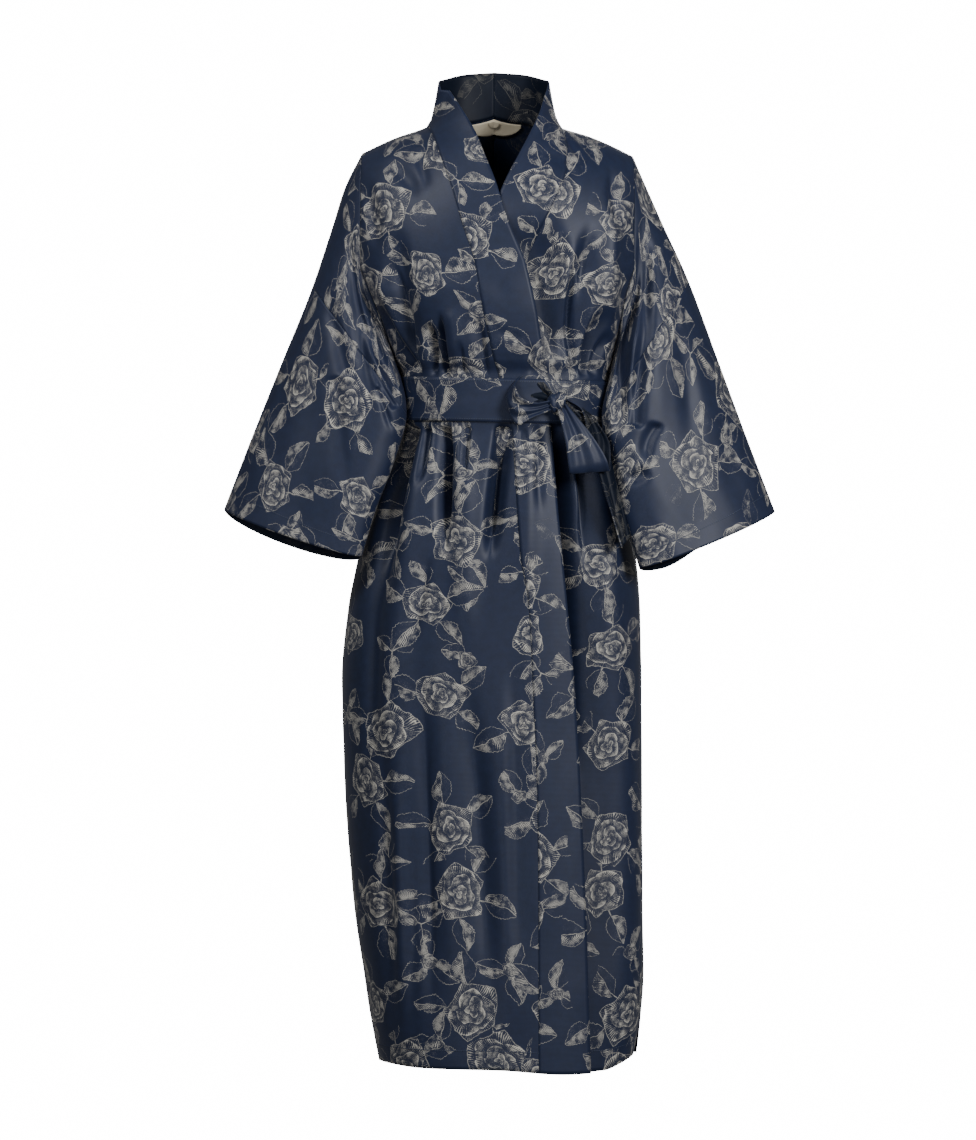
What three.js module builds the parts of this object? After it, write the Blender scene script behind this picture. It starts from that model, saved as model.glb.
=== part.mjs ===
// Kimono robe of flower-patterned satin, worn shape with no wearer, tied at the waist.
// Millimetres, +Z up, +X to the wearer's left, the front faces -Y.
// The origin is at the base of the neck, at the height of the shoulders' inner ends.
import * as THREE from 'three';
import { mergeVertices } from 'three/addons/utils/BufferGeometryUtils.js';

// Cloth and sewing
const CLOTH = 1.4;
const BAND_CLOTH = 2.0;
const BELT_CLOTH = 2.0;
const BELT_GAP = 0.8;
const LABEL_CLOTH = 0.8;
const LABEL_INSET = 3.0;
const SEAM = 0.15;
const LAYER = 4.2;
const SLACK = 9;
const COVER_REACH = 75;
const COVER_FADE = 60;
const ROUNDNESS = 2.3;

// Main heights, from the neck base down
const CHEST = -190;
const UNDERARM = -312;
const BELT_TOP = -336;
const BELT_BOTTOM = -394;
const HEM_START = -1150;
const HEM = -1248;
const SHOULDER_ROWS = 6;
const ARMHOLE_ROWS = 6;
const ARMHOLE_HALF_DEPTH = 56;

// Neck
const NECK_MIDDLE = -5.5;
const NECK_HALF_WIDTH = 87.5;
const NECK_BACK_TURN = 58;

// The body's level sections: the side edges in x, the front and back depth from the middle
const BODY = [
  { at: -1250, right: -158, left: 184, front: 128, back: 132 },
  { at: -1185, right: -169, left: 190, front: 129, back: 132 },
  { at: -1130, right: -177, left: 193, front: 130, back: 131 },
  { at: -1033, right: -191, left: 192, front: 130, back: 130 },
  { at: -894, right: -203, left: 192, front: 131, back: 130 },
  { at: -740, right: -207, left: 190, front: 132, back: 132 },
  { at: -644, right: -200, left: 189, front: 131, back: 134 },
  { at: -576, right: -187, left: 184, front: 129, back: 134 },
  { at: -523, right: -174, left: 174, front: 126, back: 128 },
  { at: -470, right: -158, left: 163, front: 120, back: 118 },
  { at: -430, right: -139, left: 154, front: 114, back: 106 },
  { at: -402, right: -130, left: 151, front: 109, back: 98 },
  { at: -330, right: -130, left: 151, front: 109, back: 98 },
  { at: -312, right: -139, left: 156, front: 118, back: 104 },
  { at: -285, right: -147, left: 161, front: 125, back: 110 },
  { at: -222, right: -179, left: 180, front: 130, back: 115 },
  { at: -190, right: -196, left: 194, front: 124, back: 116 },
];

// Height of the ridge of the shoulders, by distance from the neck's middle
const SHOULDER = [
  { at: 0, height: 55 },
  { at: 40, height: 36 },
  { at: 60, height: 21 },
  { at: 88, height: 0 },
  { at: 130, height: -14 },
  { at: 190, height: -41 },
];

// Height of the front hem, by x
const FRONT_HEM = [
  { at: -170, height: -1238 },
  { at: -100, height: -1246 },
  { at: 0, height: -1248 },
  { at: 90, height: -1254 },
  { at: 140, height: -1251 },
  { at: 165, height: -1241 },
  { at: 190, height: -1226 },
];
const BACK_HEM = [
  { at: -158, height: -1239 },
  { at: -90, height: -1252 },
  { at: 20, height: -1257 },
  { at: 110, height: -1255 },
  { at: 184, height: -1231 },
];

// The top front (wearer's right): where its band is sewn on, and the band's free edge
const TOP_FRONT = [
  { at: -1250, seam: 55, edge: 122 },
  { at: -1116, seam: 55, edge: 118 },
  { at: -894, seam: 53, edge: 109 },
  { at: -766, seam: 48, edge: 102 },
  { at: -629, seam: 41, edge: 90 },
  { at: -576, seam: 31, edge: 85 },
  { at: -403, seam: 19, edge: 70 },
  { at: -339, seam: 4, edge: 66 },
  { at: -299, seam: -7, edge: 59 },
  { at: -237, seam: -20, edge: 49 },
  { at: -190, seam: -28, edge: 38 },
  { at: -158, seam: -46, edge: 20 },
  { at: -127, seam: -60, edge: 6 },
  { at: -95, seam: -73, edge: -16 },
  { at: -63, seam: -82, edge: -32 },
  { at: -32, seam: -89, edge: -48 },
  { at: 0, seam: -93, edge: -64 },
];

// The under front (wearer's left), which runs on below the top one
const UNDER_FRONT = [
  { at: -1250, seam: -48, edge: -108 },
  { at: -900, seam: -42, edge: -102 },
  { at: -630, seam: -24, edge: -84 },
  { at: -399, seam: -4, edge: -62 },
  { at: -333, seam: 4, edge: -56 },
  { at: -260, seam: 22, edge: -42 },
  { at: -190, seam: 41, edge: -24 },
  { at: -158, seam: 59, edge: -9 },
  { at: -127, seam: 76, edge: 9 },
  { at: -95, seam: 89, edge: 27 },
  { at: -63, seam: 90, edge: 43 },
  { at: -32, seam: 87, edge: 57 },
  { at: 0, seam: 82, edge: 64 },
];

// The band's free edge where it rises from the chest to stand round the neck
const TOP_COLLAR = [
  { at: -190, x: 35, y: -124, z: -180 },
  { at: -158, x: 11, y: -119, z: -122 },
  { at: -127, x: -3, y: -107, z: -76 },
  { at: -95, x: -17, y: -92, z: -41 },
  { at: -63, x: -30, y: -72, z: -9 },
  { at: -32, x: -48, y: -48, z: 22 },
  { at: 0, x: -65, y: -20, z: 48 },
];
const UNDER_COLLAR = [
  { at: -190, x: -23, y: -119, z: -166 },
  { at: -158, x: -7, y: -114, z: -116 },
  { at: -127, x: 9, y: -103, z: -75 },
  { at: -95, x: 26, y: -88, z: -42 },
  { at: -63, x: 42, y: -68, z: -11 },
  { at: -32, x: 56, y: -44, z: 19 },
  { at: 0, x: 64, y: -18, z: 45 },
];

// The standing collar's top edge behind the neck, by share of the way to the middle of the back
const BACK_COLLAR = [
  { at: 0, out: 71, y: -19, z: 47 },
  { at: 0.17, out: 74, y: 3, z: 60 },
  { at: 0.4, out: 63, y: 34, z: 66 },
  { at: 0.7, out: 38, y: 58, z: 73 },
  { at: 1, out: 0, y: 66, z: 76 },
];

// Folds: each runs from a high place to a low one; a ridge has a positive depth
const FRONT_FOLDS = [
  { top: -150, topX: -137, low: -322, lowX: -112, depth: -9, width: 13 },
  { top: -190, topX: -160, low: -318, lowX: -122, depth: 8, width: 12 },
  { top: -262, topX: -92, low: -326, lowX: -77, depth: -7, width: 9 },
  { top: -240, topX: -62, low: -328, lowX: -52, depth: 5, width: 12 },
  { top: -250, topX: -30, low: -328, lowX: -22, depth: -4, width: 9 },
  { top: -150, topX: 118, low: -330, lowX: 101, depth: -9, width: 11 },
  { top: -165, topX: 96, low: -330, lowX: 84, depth: 6, width: 12 },
  { top: -240, topX: 140, low: -328, lowX: 118, depth: -8, width: 9 },
  { top: -110, topX: 152, low: -318, lowX: 140, depth: 7, width: 12 },
  { top: -402, topX: -122, low: -690, lowX: -172, depth: -13, width: 13 },
  { top: -402, topX: -98, low: -760, lowX: -142, depth: 7, width: 16 },
  { top: -402, topX: -68, low: -560, lowX: -70, depth: -10, width: 9 },
  { top: -402, topX: -46, low: -720, lowX: -44, depth: 6, width: 16 },
  { top: -402, topX: 12, low: -590, lowX: -14, depth: -9, width: 10 },
  { top: -402, topX: 40, low: -640, lowX: 36, depth: 5, width: 14 },
  { top: -404, topX: 112, low: -600, lowX: 146, depth: -8, width: 10 },
  { top: -430, topX: 126, low: -800, lowX: 160, depth: 6, width: 15 },
  { top: -640, topX: -58, low: -1230, lowX: -22, depth: -5, width: 18 },
  { top: -560, topX: -146, low: -1240, lowX: -120, depth: 5, width: 22 },
  { top: -700, topX: -98, low: -1240, lowX: -84, depth: -5, width: 16 },
  { top: -720, topX: 4, low: -1240, lowX: 20, depth: 4, width: 20 },
  { top: -760, topX: 150, low: -1240, lowX: 146, depth: -7, width: 16 },
];
const BACK_FOLDS = [
  { top: -120, topX: -120, low: -326, lowX: -96, depth: -8, width: 13 },
  { top: -200, topX: -74, low: -328, lowX: -66, depth: 5, width: 13 },
  { top: -230, topX: -36, low: -328, lowX: -34, depth: -6, width: 11 },
  { top: -150, topX: 10, low: -328, lowX: 6, depth: -4, width: 13 },
  { top: -210, topX: 44, low: -328, lowX: 38, depth: 5, width: 12 },
  { top: -130, topX: 92, low: -328, lowX: 78, depth: -8, width: 12 },
  { top: -120, topX: 146, low: -320, lowX: 118, depth: -6, width: 12 },
  { top: -402, topX: -104, low: -700, lowX: -150, depth: -11, width: 14 },
  { top: -402, topX: -70, low: -640, lowX: -92, depth: 6, width: 14 },
  { top: -402, topX: -44, low: -900, lowX: -54, depth: -9, width: 13 },
  { top: -402, topX: -8, low: -700, lowX: -10, depth: 5, width: 15 },
  { top: -402, topX: 26, low: -840, lowX: 30, depth: -10, width: 12 },
  { top: -402, topX: 60, low: -620, lowX: 76, depth: 6, width: 13 },
  { top: -402, topX: 90, low: -760, lowX: 130, depth: -11, width: 14 },
  { top: -760, topX: -110, low: -1240, lowX: -104, depth: -6, width: 20 },
  { top: -700, topX: 60, low: -1240, lowX: 66, depth: 5, width: 22 },
  { top: -880, topX: 110, low: -1240, lowX: 112, depth: -6, width: 18 },
];

// Sleeves: the outer edge down the arm, the inner edge below it, and the half depths
const RIGHT_SLEEVE = [
  { at: 0, outX: -183, outY: 0, outZ: -37, inX: -139, inY: 0, inZ: -312, front: 56, back: 56 },
  { at: 0.1, outX: -205, outY: 0, outZ: -82, inX: -139, inY: -18, inZ: -327, front: 49, back: 54 },
  { at: 0.2, outX: -221, outY: 0, outZ: -134, inX: -135, inY: -38, inZ: -345, front: 51, back: 56 },
  { at: 0.365, outX: -247, outY: -2, outZ: -213, inX: -132, inY: -60, inZ: -382, front: 54, back: 58 },
  { at: 0.6, outX: -289, outY: -5, outZ: -317, inX: -146, inY: -70, inZ: -445, front: 50, back: 56 },
  { at: 0.8, outX: -327, outY: -8, outZ: -412, inX: -163, inY: -76, inZ: -508, front: 46, back: 50 },
  { at: 1, outX: -364, outY: -10, outZ: -508, inX: -180, inY: -80, inZ: -570, front: 42, back: 44 },
];
const LEFT_SLEEVE = [
  { at: 0, outX: 181, outY: 0, outZ: -37, inX: 156, inY: 0, inZ: -312, front: 56, back: 56 },
  { at: 0.1, outX: 201, outY: 0, outZ: -84, inX: 157, inY: -18, inZ: -330, front: 50, back: 54 },
  { at: 0.2, outX: 222, outY: 0, outZ: -134, inX: 154, inY: -38, inZ: -350, front: 52, back: 56 },
  { at: 0.355, outX: 254, outY: -2, outZ: -206, inX: 150, inY: -64, inZ: -388, front: 55, back: 58 },
  { at: 0.6, outX: 294, outY: -5, outZ: -314, inX: 156, inY: -76, inZ: -452, front: 52, back: 56 },
  { at: 0.8, outX: 331, outY: -8, outZ: -414, inX: 168, inY: -82, inZ: -520, front: 48, back: 50 },
  { at: 1, outX: 368, outY: -10, outZ: -511, inX: 186, inY: -86, inZ: -585, front: 43, back: 44 },
];
const SLEEVE_BLEND = 0.3;
const NORMAL_STEP = 0.04;
const FRONT_CUFF_DIP = 8;
const BACK_CUFF_DIP = 20;
const LEFT_CUFF_DIP_START = 0.4;

// Sleeve folds, by place round the ring (0 outer edge, 1 inner edge) and share down the sleeve
const SLEEVE_FOLDS = [
  { face: 'front', from: 0.04, fromPlace: 0.3, to: 0.5, toPlace: 0.62, depth: -10, width: 0.07 },
  { face: 'front', from: 0.08, fromPlace: 0.55, to: 0.42, toPlace: 0.84, depth: -9, width: 0.06 },
  { face: 'front', from: 0.12, fromPlace: 0.42, to: 0.5, toPlace: 0.74, depth: 7, width: 0.06 },
  { face: 'front', from: 0.5, fromPlace: 0.45, to: 1.1, toPlace: 0.5, depth: -4, width: 0.1 },
  { face: 'back', from: 0.05, fromPlace: 0.35, to: 0.55, toPlace: 0.66, depth: -9, width: 0.07 },
  { face: 'back', from: 0.1, fromPlace: 0.55, to: 0.45, toPlace: 0.82, depth: 7, width: 0.07 },
  { face: 'back', from: 0.5, fromPlace: 0.4, to: 1.1, toPlace: 0.46, depth: -5, width: 0.1 },
];

// The bow, in front of the belt on the wearer's left
const KNOT = { x: 80, y: -116.4, z: -367, halfWidth: 20, halfDepth: 12, halfHeight: 14 };
const LOOPS = [
  {
    name: 'bow_loop_right', root: [59.6, -118, -366], along: [-51, -10, 5],
    across: [0, -8, 19], width: [4, -8, -40], pinch: 0.45,
  },
  {
    name: 'bow_loop_left', root: [86, -117, -381.2], along: [35, -13, -88],
    across: [6, -14, -2], width: [46, 8, 6], pinch: 0.45,
  },
];
const TAIL = [
  { at: 0, x: 104.4, y: -113, z: -371, sideX: 3, sideY: 6 },
  { at: 0.14, x: 120, y: -102, z: -396, sideX: 9, sideY: 8 },
  { at: 0.42, x: 138, y: -98, z: -442, sideX: 11, sideY: 11 },
  { at: 0.75, x: 154, y: -101, z: -498, sideX: 9, sideY: 13 },
  { at: 1, x: 168, y: -102, z: -552, sideX: 7, sideY: 12 },
];
const TAIL_ROWS = 10;

// Label inside the back of the neck
const LABEL_HALF_WIDTH = 37;
const LABEL_DEPTH_TURN = 9;
const HANG_LOOP_HALF_WIDTH = 7;

// Grid sizes
const SKIRT_ROWS = 22;
const FRONT_COLUMNS = 13;
const UNDER_COLUMNS = 13;
const SHOULDER_COLUMNS = 6;
const BAND_COLUMNS = 3;
const NECK_ROWS = 6;
const BELT_COLUMNS = 56;

const QUARTER = Math.PI / 2;

function material(name, color, roughness) {
  const finish = new THREE.MeshStandardMaterial({ color, roughness, metalness: 0 });
  finish.name = name;
  return finish;
}

const SATIN = material('satin', 0x2c3752, 0.45);
const LABEL_TAPE = material('label_tape', 0xd9cdb4, 0.7);

// Reads a column of a table at a place, with a smooth curve through its rows
function sizeAt(table, place, column) {
  const last = table.length - 1;
  if (place <= table[0].at) {
    return table[0][column];
  }
  if (place >= table[last].at) {
    return table[last][column];
  }
  let row = 0;
  while (place > table[row + 1].at) {
    row += 1;
  }
  const slope = (index) => {
    const rise = table[index + 1][column] - table[index][column];
    return rise / (table[index + 1].at - table[index].at);
  };
  const bend = (index) => {
    if (index === 0) {
      return slope(0);
    }
    if (index === last) {
      return slope(last - 1);
    }
    const before = slope(index - 1);
    const after = slope(index);
    return before * after > 0 ? (2 * before * after) / (before + after) : 0;
  };
  const span = table[row + 1].at - table[row].at;
  const t = (place - table[row].at) / span;
  const near = table[row][column] * (1 + 2 * t) * (1 - t) ** 2 + bend(row) * span * t * (1 - t) ** 2;
  const far = table[row + 1][column] * t * t * (3 - 2 * t) - bend(row + 1) * span * t * t * (1 - t);
  return near + far;
}

function smooth(value) {
  const t = Math.min(1, Math.max(0, value));
  return t * t * (3 - 2 * t);
}

function signedPower(value, power) {
  return Math.sign(value) * Math.abs(value) ** power;
}

// Height of all the folds at a place on the cloth; they die out at the belt
function foldAt(x, level, folds) {
  let sum = 0;
  for (const fold of folds) {
    const share = (fold.top - level) / (fold.top - fold.low);
    if (share > 0 && share < 1) {
      const middle = fold.topX + (fold.lowX - fold.topX) * share;
      const fade = smooth(share * 4) * smooth((1 - share) * 2.5);
      sum += fold.depth * fade * Math.exp(-(((x - middle) / fold.width) ** 2));
    }
  }
  return sum;
}

// A point of the body's cloth. The angle runs from the wearer's left side over the front.
// Above the chest the cloth rounds over to the ridge of the shoulders.
function bodyPoint(angle, level, inset, foldShare = 1) {
  const height = Math.min(level, CHEST);
  const turn = level > CHEST ? QUARTER * (1 - level / CHEST) : 0;
  const right = sizeAt(BODY, height, 'right');
  const left = sizeAt(BODY, height, 'left');
  const isFront = Math.sin(angle) > 0;
  const across = signedPower(Math.cos(angle), 2 / ROUNDNESS);
  const away = signedPower(Math.sin(angle), 2 / ROUNDNESS);
  const flatX = (left + right) / 2 + ((left - right) / 2) * across;
  const fold = foldAt(flatX, level, isFront ? FRONT_FOLDS : BACK_FOLDS);
  const lift = fold * foldShare - inset;
  const x = (left + right) / 2 + ((left - right) / 2 + lift) * across;
  const depth = sizeAt(BODY, height, isFront ? 'front' : 'back') + lift;
  let z = level;
  if (level > CHEST) {
    const ridge = sizeAt(SHOULDER, Math.abs(x - NECK_MIDDLE), 'height');
    z = CHEST + (ridge + lift - CHEST) * Math.sin(turn);
  } else if (level < HEM_START) {
    const hem = sizeAt(isFront ? FRONT_HEM : BACK_HEM, x, 'height');
    z = level + (hem - HEM) * ((HEM_START - level) / (HEM_START - HEM)) ** 2;
  }
  return new THREE.Vector3(x, -depth * away * Math.cos(turn), z);
}

// The angle on the front that has a given x
function angleAtX(x, level) {
  const height = Math.min(level, CHEST);
  const right = sizeAt(BODY, height, 'right');
  const left = sizeAt(BODY, height, 'left');
  const across = (2 * x - left - right) / (left - right);
  return Math.acos(signedPower(across, ROUNDNESS / 2));
}

// How far the armhole, or below it the side seam, stands from the widest line of the body
function sideAngle(level, isFront) {
  const height = Math.min(level, CHEST);
  let halfDepth = SEAM;
  if (level > UNDERARM) {
    const share = (height - CHEST) / (UNDERARM - CHEST);
    halfDepth = Math.max(SEAM, ARMHOLE_HALF_DEPTH * Math.sqrt(1 - share * share));
  }
  const depth = sizeAt(BODY, height, isFront ? 'front' : 'back');
  return Math.asin((halfDepth / depth) ** (ROUNDNESS / 2));
}

// Levels of the rows that the fronts, the back, the bands and the armholes share
function shoulderLevels() {
  const levels = [];
  for (let row = 0; row <= SHOULDER_ROWS; row += 1) {
    levels.push(CHEST * (1 - row / SHOULDER_ROWS));
  }
  levels[SHOULDER_ROWS] = -SEAM;
  return levels;
}

function armholeLevels() {
  const levels = [];
  for (let row = ARMHOLE_ROWS; row > 0; row -= 1) {
    levels.push(CHEST + (UNDERARM - CHEST) * Math.sin((QUARTER * row) / ARMHOLE_ROWS));
  }
  return levels;
}

function skirtLevels() {
  const levels = [];
  for (let row = 0; row <= SKIRT_ROWS; row += 1) {
    levels.push(HEM + (BELT_BOTTOM - 8 - HEM) * (row / SKIRT_ROWS) ** 0.85);
  }
  levels.push((BELT_TOP + BELT_BOTTOM) / 2, BELT_TOP + 6);
  return levels;
}

const ARMHOLE_LEVELS = armholeLevels();
const SHOULDER_LEVELS = shoulderLevels();
const LEVELS = [...skirtLevels(), ...ARMHOLE_LEVELS, ...SHOULDER_LEVELS];

// A closed wall between an outer and an inner grid of points; a ring joins its last column to its first
function wall(name, finish, outer, inner, ring = false) {
  const rows = outer.length;
  const columns = outer[0].length;
  const positions = [];
  for (const grid of [outer, inner]) {
    for (const line of grid) {
      for (const point of line) {
        positions.push(point.x, point.y, point.z);
      }
    }
  }
  const indices = [];
  const at = (face, row, column) => (face * rows + row) * columns + (column % columns);
  const quad = (a, b, c, d) => {
    indices.push(a, b, c, a, c, d);
  };
  const lastColumn = ring ? columns : columns - 1;
  for (let row = 0; row < rows - 1; row += 1) {
    for (let column = 0; column < lastColumn; column += 1) {
      const next = column + 1;
      quad(at(0, row, column), at(0, row, next), at(0, row + 1, next), at(0, row + 1, column));
      quad(at(1, row, column), at(1, row + 1, column), at(1, row + 1, next), at(1, row, next));
    }
  }
  for (let column = 0; column < lastColumn; column += 1) {
    const next = column + 1;
    const top = rows - 1;
    quad(at(0, 0, column), at(1, 0, column), at(1, 0, next), at(0, 0, next));
    quad(at(0, top, column), at(0, top, next), at(1, top, next), at(1, top, column));
  }
  if (!ring) {
    for (let row = 0; row < rows - 1; row += 1) {
      const side = columns - 1;
      quad(at(0, row, 0), at(0, row + 1, 0), at(1, row + 1, 0), at(1, row, 0));
      quad(at(0, row, side), at(1, row, side), at(1, row + 1, side), at(0, row + 1, side));
    }
  }
  return solid(name, finish, positions, indices);
}

// A named mesh with its faces turned outwards
function solid(name, finish, positions, indices) {
  const corner = (index) => new THREE.Vector3().fromArray(positions, 3 * index);
  let volume = 0;
  for (let first = 0; first < indices.length; first += 3) {
    const a = corner(indices[first]);
    const b = corner(indices[first + 1]);
    const c = corner(indices[first + 2]);
    volume += a.dot(b.cross(c));
  }
  const geometry = new THREE.BufferGeometry();
  geometry.setAttribute('position', new THREE.Float32BufferAttribute(positions, 3));
  geometry.setIndex(volume > 0 ? indices : indices.slice().reverse());
  geometry.computeVertexNormals();
  const mesh = new THREE.Mesh(geometry, finish);
  mesh.name = name;
  return mesh;
}

// The grid of a front: for each level, columns spread evenly between two angles
function frontGrid(columns, angles, pointAt, inset) {
  return LEVELS.map((level) => {
    const [from, to] = angles(level);
    const line = [];
    for (let column = 0; column <= columns; column += 1) {
      line.push(pointAt(from + ((to - from) * column) / columns, level, inset));
    }
    return line;
  });
}

// A point of the under front: it lies deeper and plainer where the top front covers it
function underPoint(angle, level, inset) {
  const x = bodyPoint(angle, level, 0, 0).x;
  const cover = smooth((sizeAt(TOP_FRONT, level, 'edge') + COVER_REACH - x) / COVER_FADE);
  const beltDistance = Math.max(BELT_BOTTOM - 8 - level, level - BELT_TOP - 8);
  const slack = SLACK * smooth(beltDistance / 60) * smooth((CHEST + 70 - level) / 60);
  return bodyPoint(angle, level, inset + (LAYER + slack) * cover, 1 - cover);
}

function topFrontAngles(level) {
  return [angleAtX(sizeAt(TOP_FRONT, level, 'seam') - SEAM, level), Math.PI - sideAngle(level, true)];
}

function underFrontAngles(level) {
  return [sideAngle(level, true), angleAtX(sizeAt(UNDER_FRONT, level, 'seam') + SEAM, level)];
}

function topFront() {
  const grid = (inset) => frontGrid(FRONT_COLUMNS, topFrontAngles, bodyPoint, inset);
  return wall('front_right', SATIN, grid(0), grid(CLOTH));
}

function underFront() {
  const grid = (inset) => frontGrid(UNDER_COLUMNS, underFrontAngles, underPoint, inset);
  return wall('front_left', SATIN, grid(0), grid(CLOTH));
}

// The turn at which the back ends: at the ridge of the shoulders, or lower along the neck's curve
function backTurn(x) {
  const share = Math.abs(x - NECK_MIDDLE) / NECK_HALF_WIDTH;
  return share < 1 ? 90 - (90 - NECK_BACK_TURN) * Math.sqrt(1 - share * share) : 90;
}

// A point of the back; rows above the chest are squeezed below the neck's curve
function backPoint(angle, level, inset) {
  if (level <= CHEST) {
    return bodyPoint(angle, level, inset);
  }
  const x = bodyPoint(angle, CHEST, 0, 0).x;
  const share = 1 - level / CHEST;
  return bodyPoint(angle, CHEST * (1 - (share * backTurn(x)) / 90), inset);
}

function backAngle(share, level) {
  const side = sideAngle(level, false);
  return Math.PI + side + (Math.PI - 2 * side) * share;
}

// Columns of the back, with one for each row of the standing collar
function backShares() {
  const side = sideAngle(CHEST, false);
  const shareAtX = (x) => (Math.PI - angleAtX(x, CHEST) - side) / (Math.PI - 2 * side);
  const neck = [];
  for (let row = -NECK_ROWS; row <= NECK_ROWS; row += 1) {
    neck.push(shareAtX(NECK_MIDDLE + NECK_HALF_WIDTH * Math.sin((QUARTER * row) / NECK_ROWS)));
  }
  const outside = [];
  for (let column = 0; column < SHOULDER_COLUMNS; column += 1) {
    outside.push(column / SHOULDER_COLUMNS);
  }
  const last = neck[neck.length - 1];
  const beyond = outside.map((share) => 1 - share * (1 - last)).reverse();
  return [...outside.map((share) => share * neck[0]), ...neck, ...beyond];
}

// The back is two halves, sewn together down the middle
function backHalf(side) {
  const shares = backShares();
  const middle = SHOULDER_COLUMNS + NECK_ROWS;
  const half = side > 0 ? shares.slice(middle) : shares.slice(0, middle + 1);
  const grid = (inset) => LEVELS.map((level) => {
    return half.map((share) => {
      const point = backPoint(backAngle(share, level), level, inset);
      point.x += share === shares[middle] ? side * SEAM : 0;
      return point;
    });
  });
  return wall(side < 0 ? 'back_right' : 'back_left', SATIN, grid(0), grid(CLOTH));
}

// A point of the neck's curve on the back, by share of the way from the shoulder to the middle
function neckPoint(side, share, inset) {
  const around = QUARTER * share;
  const x = NECK_MIDDLE + side * NECK_HALF_WIDTH * Math.cos(around);
  const turn = 90 - (90 - NECK_BACK_TURN) * Math.sin(around);
  const angle = 2 * Math.PI - angleAtX(x, CHEST);
  return bodyPoint(angle, CHEST * (1 - turn / 90), inset);
}

// Lines of a band, each from its seam to its free edge, from the hem up to the middle of the back
function bandLines(side, inset) {
  const table = side < 0 ? TOP_FRONT : UNDER_FRONT;
  const collar = side < 0 ? TOP_COLLAR : UNDER_COLLAR;
  const pointAt = side < 0 ? bodyPoint : underPoint;
  const onBody = (x, level) => pointAt(angleAtX(x, level), level, inset);
  const lines = LEVELS.map((level) => {
    const seam = sizeAt(table, level, 'seam') - side * SEAM;
    const edge = sizeAt(table, level, 'edge');
    const line = [];
    for (let column = 0; column <= BAND_COLUMNS; column += 1) {
      const share = column / BAND_COLUMNS;
      const point = onBody(seam + (edge - seam) * share, level);
      if (level > CHEST - 60) {
        const free = new THREE.Vector3(
          sizeAt(collar, level, 'x'), sizeAt(collar, level, 'y') + inset, sizeAt(collar, level, 'z'),
        );
        const root = onBody(seam, level);
        const rise = smooth((level - CHEST + 60) / 60);
        const straight = root.clone().lerp(free, share);
        point.lerp(straight, rise);
      }
      line.push(point);
    }
    return line;
  });
  for (let row = 1; row <= NECK_ROWS; row += 1) {
    const share = row / NECK_ROWS;
    const root = neckPoint(side, share, inset);
    const out = sizeAt(BACK_COLLAR, share, 'out');
    const line = [];
    const free = new THREE.Vector3(
      NECK_MIDDLE + side * out * (1 - inset / 70),
      sizeAt(BACK_COLLAR, share, 'y') - inset * smooth(share * 2),
      sizeAt(BACK_COLLAR, share, 'z'),
    );
    for (let column = 0; column <= BAND_COLUMNS; column += 1) {
      line.push(root.clone().lerp(free, column / BAND_COLUMNS));
    }
    line.forEach((point) => {
      point.x += row === NECK_ROWS ? side * SEAM : 0;
      point.z += 0.3 * (1 - Math.abs(point.z) / 100);
    });
    lines.push(line);
  }
  return lines;
}

function band(side) {
  const name = side < 0 ? 'band_right' : 'band_left';
  return wall(name, SATIN, bandLines(side, 0), bandLines(side, BAND_CLOTH));
}

// A point of the armhole, from the ridge of the shoulder (0) to the underarm (1)
function armholePoint(side, isFront, place) {
  const levels = [...SHOULDER_LEVELS].reverse().concat([...ARMHOLE_LEVELS].reverse());
  const level = levels[Math.round(place * (levels.length - 1))];
  const gap = sideAngle(level, isFront);
  let angle = side < 0 ? Math.PI - gap : gap;
  if (!isFront) {
    angle = 2 * Math.PI - angle;
  }
  return bodyPoint(angle, level, 0);
}

function sleeveFold(face, place, share) {
  let sum = 0;
  for (const fold of SLEEVE_FOLDS) {
    const part = (share - fold.from) / (fold.to - fold.from);
    if (fold.face === face && part > 0 && part < 1) {
      const middle = fold.fromPlace + (fold.toPlace - fold.fromPlace) * part;
      const fade = smooth(part * 3) * smooth((1 - part) * 3);
      sum += fold.depth * fade * Math.exp(-(((place - middle) / fold.width) ** 2));
    }
  }
  return sum;
}

// A point of the sleeve's outer face; at share 0 it is the armhole itself
function sleevePoint(side, isFront, place, share) {
  const table = side < 0 ? RIGHT_SLEEVE : LEFT_SLEEVE;
  const size = (column) => sizeAt(table, share, column);
  const high = new THREE.Vector3(size('outX'), size('outY'), size('outZ'));
  const low = new THREE.Vector3(size('inX'), size('inY'), size('inZ'));
  const root = armholePoint(side, isFront, place);
  const first = table[0];
  const rootShare = (root.z - first.inZ) / (first.outZ - first.inZ);
  const rootShift = root.x - (first.inX + (first.outX - first.inX) * rootShare);
  const ringShare = (1 + Math.cos(Math.PI * place)) / 2;
  const blend = smooth(share / SLEEVE_BLEND);
  const along = rootShare + (ringShare - rootShare) * blend;
  const point = low.clone().lerp(high, along);
  point.x += rootShift * (1 - blend);
  const swell = Math.sin(Math.PI * place);
  const half = size(isFront ? 'front' : 'back') + sleeveFold(isFront ? 'front' : 'back', place, share);
  const ringY = point.y + (isFront ? -half : half) * swell;
  point.y = root.y + (ringY - root.y) * blend;
  const backDip = BACK_CUFF_DIP * (side < 0 ? 1 : smooth((place - LEFT_CUFF_DIP_START) * 3));
  point.z -= (isFront ? FRONT_CUFF_DIP : backDip) * swell * smooth(share) ** 2;
  return point;
}

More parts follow.
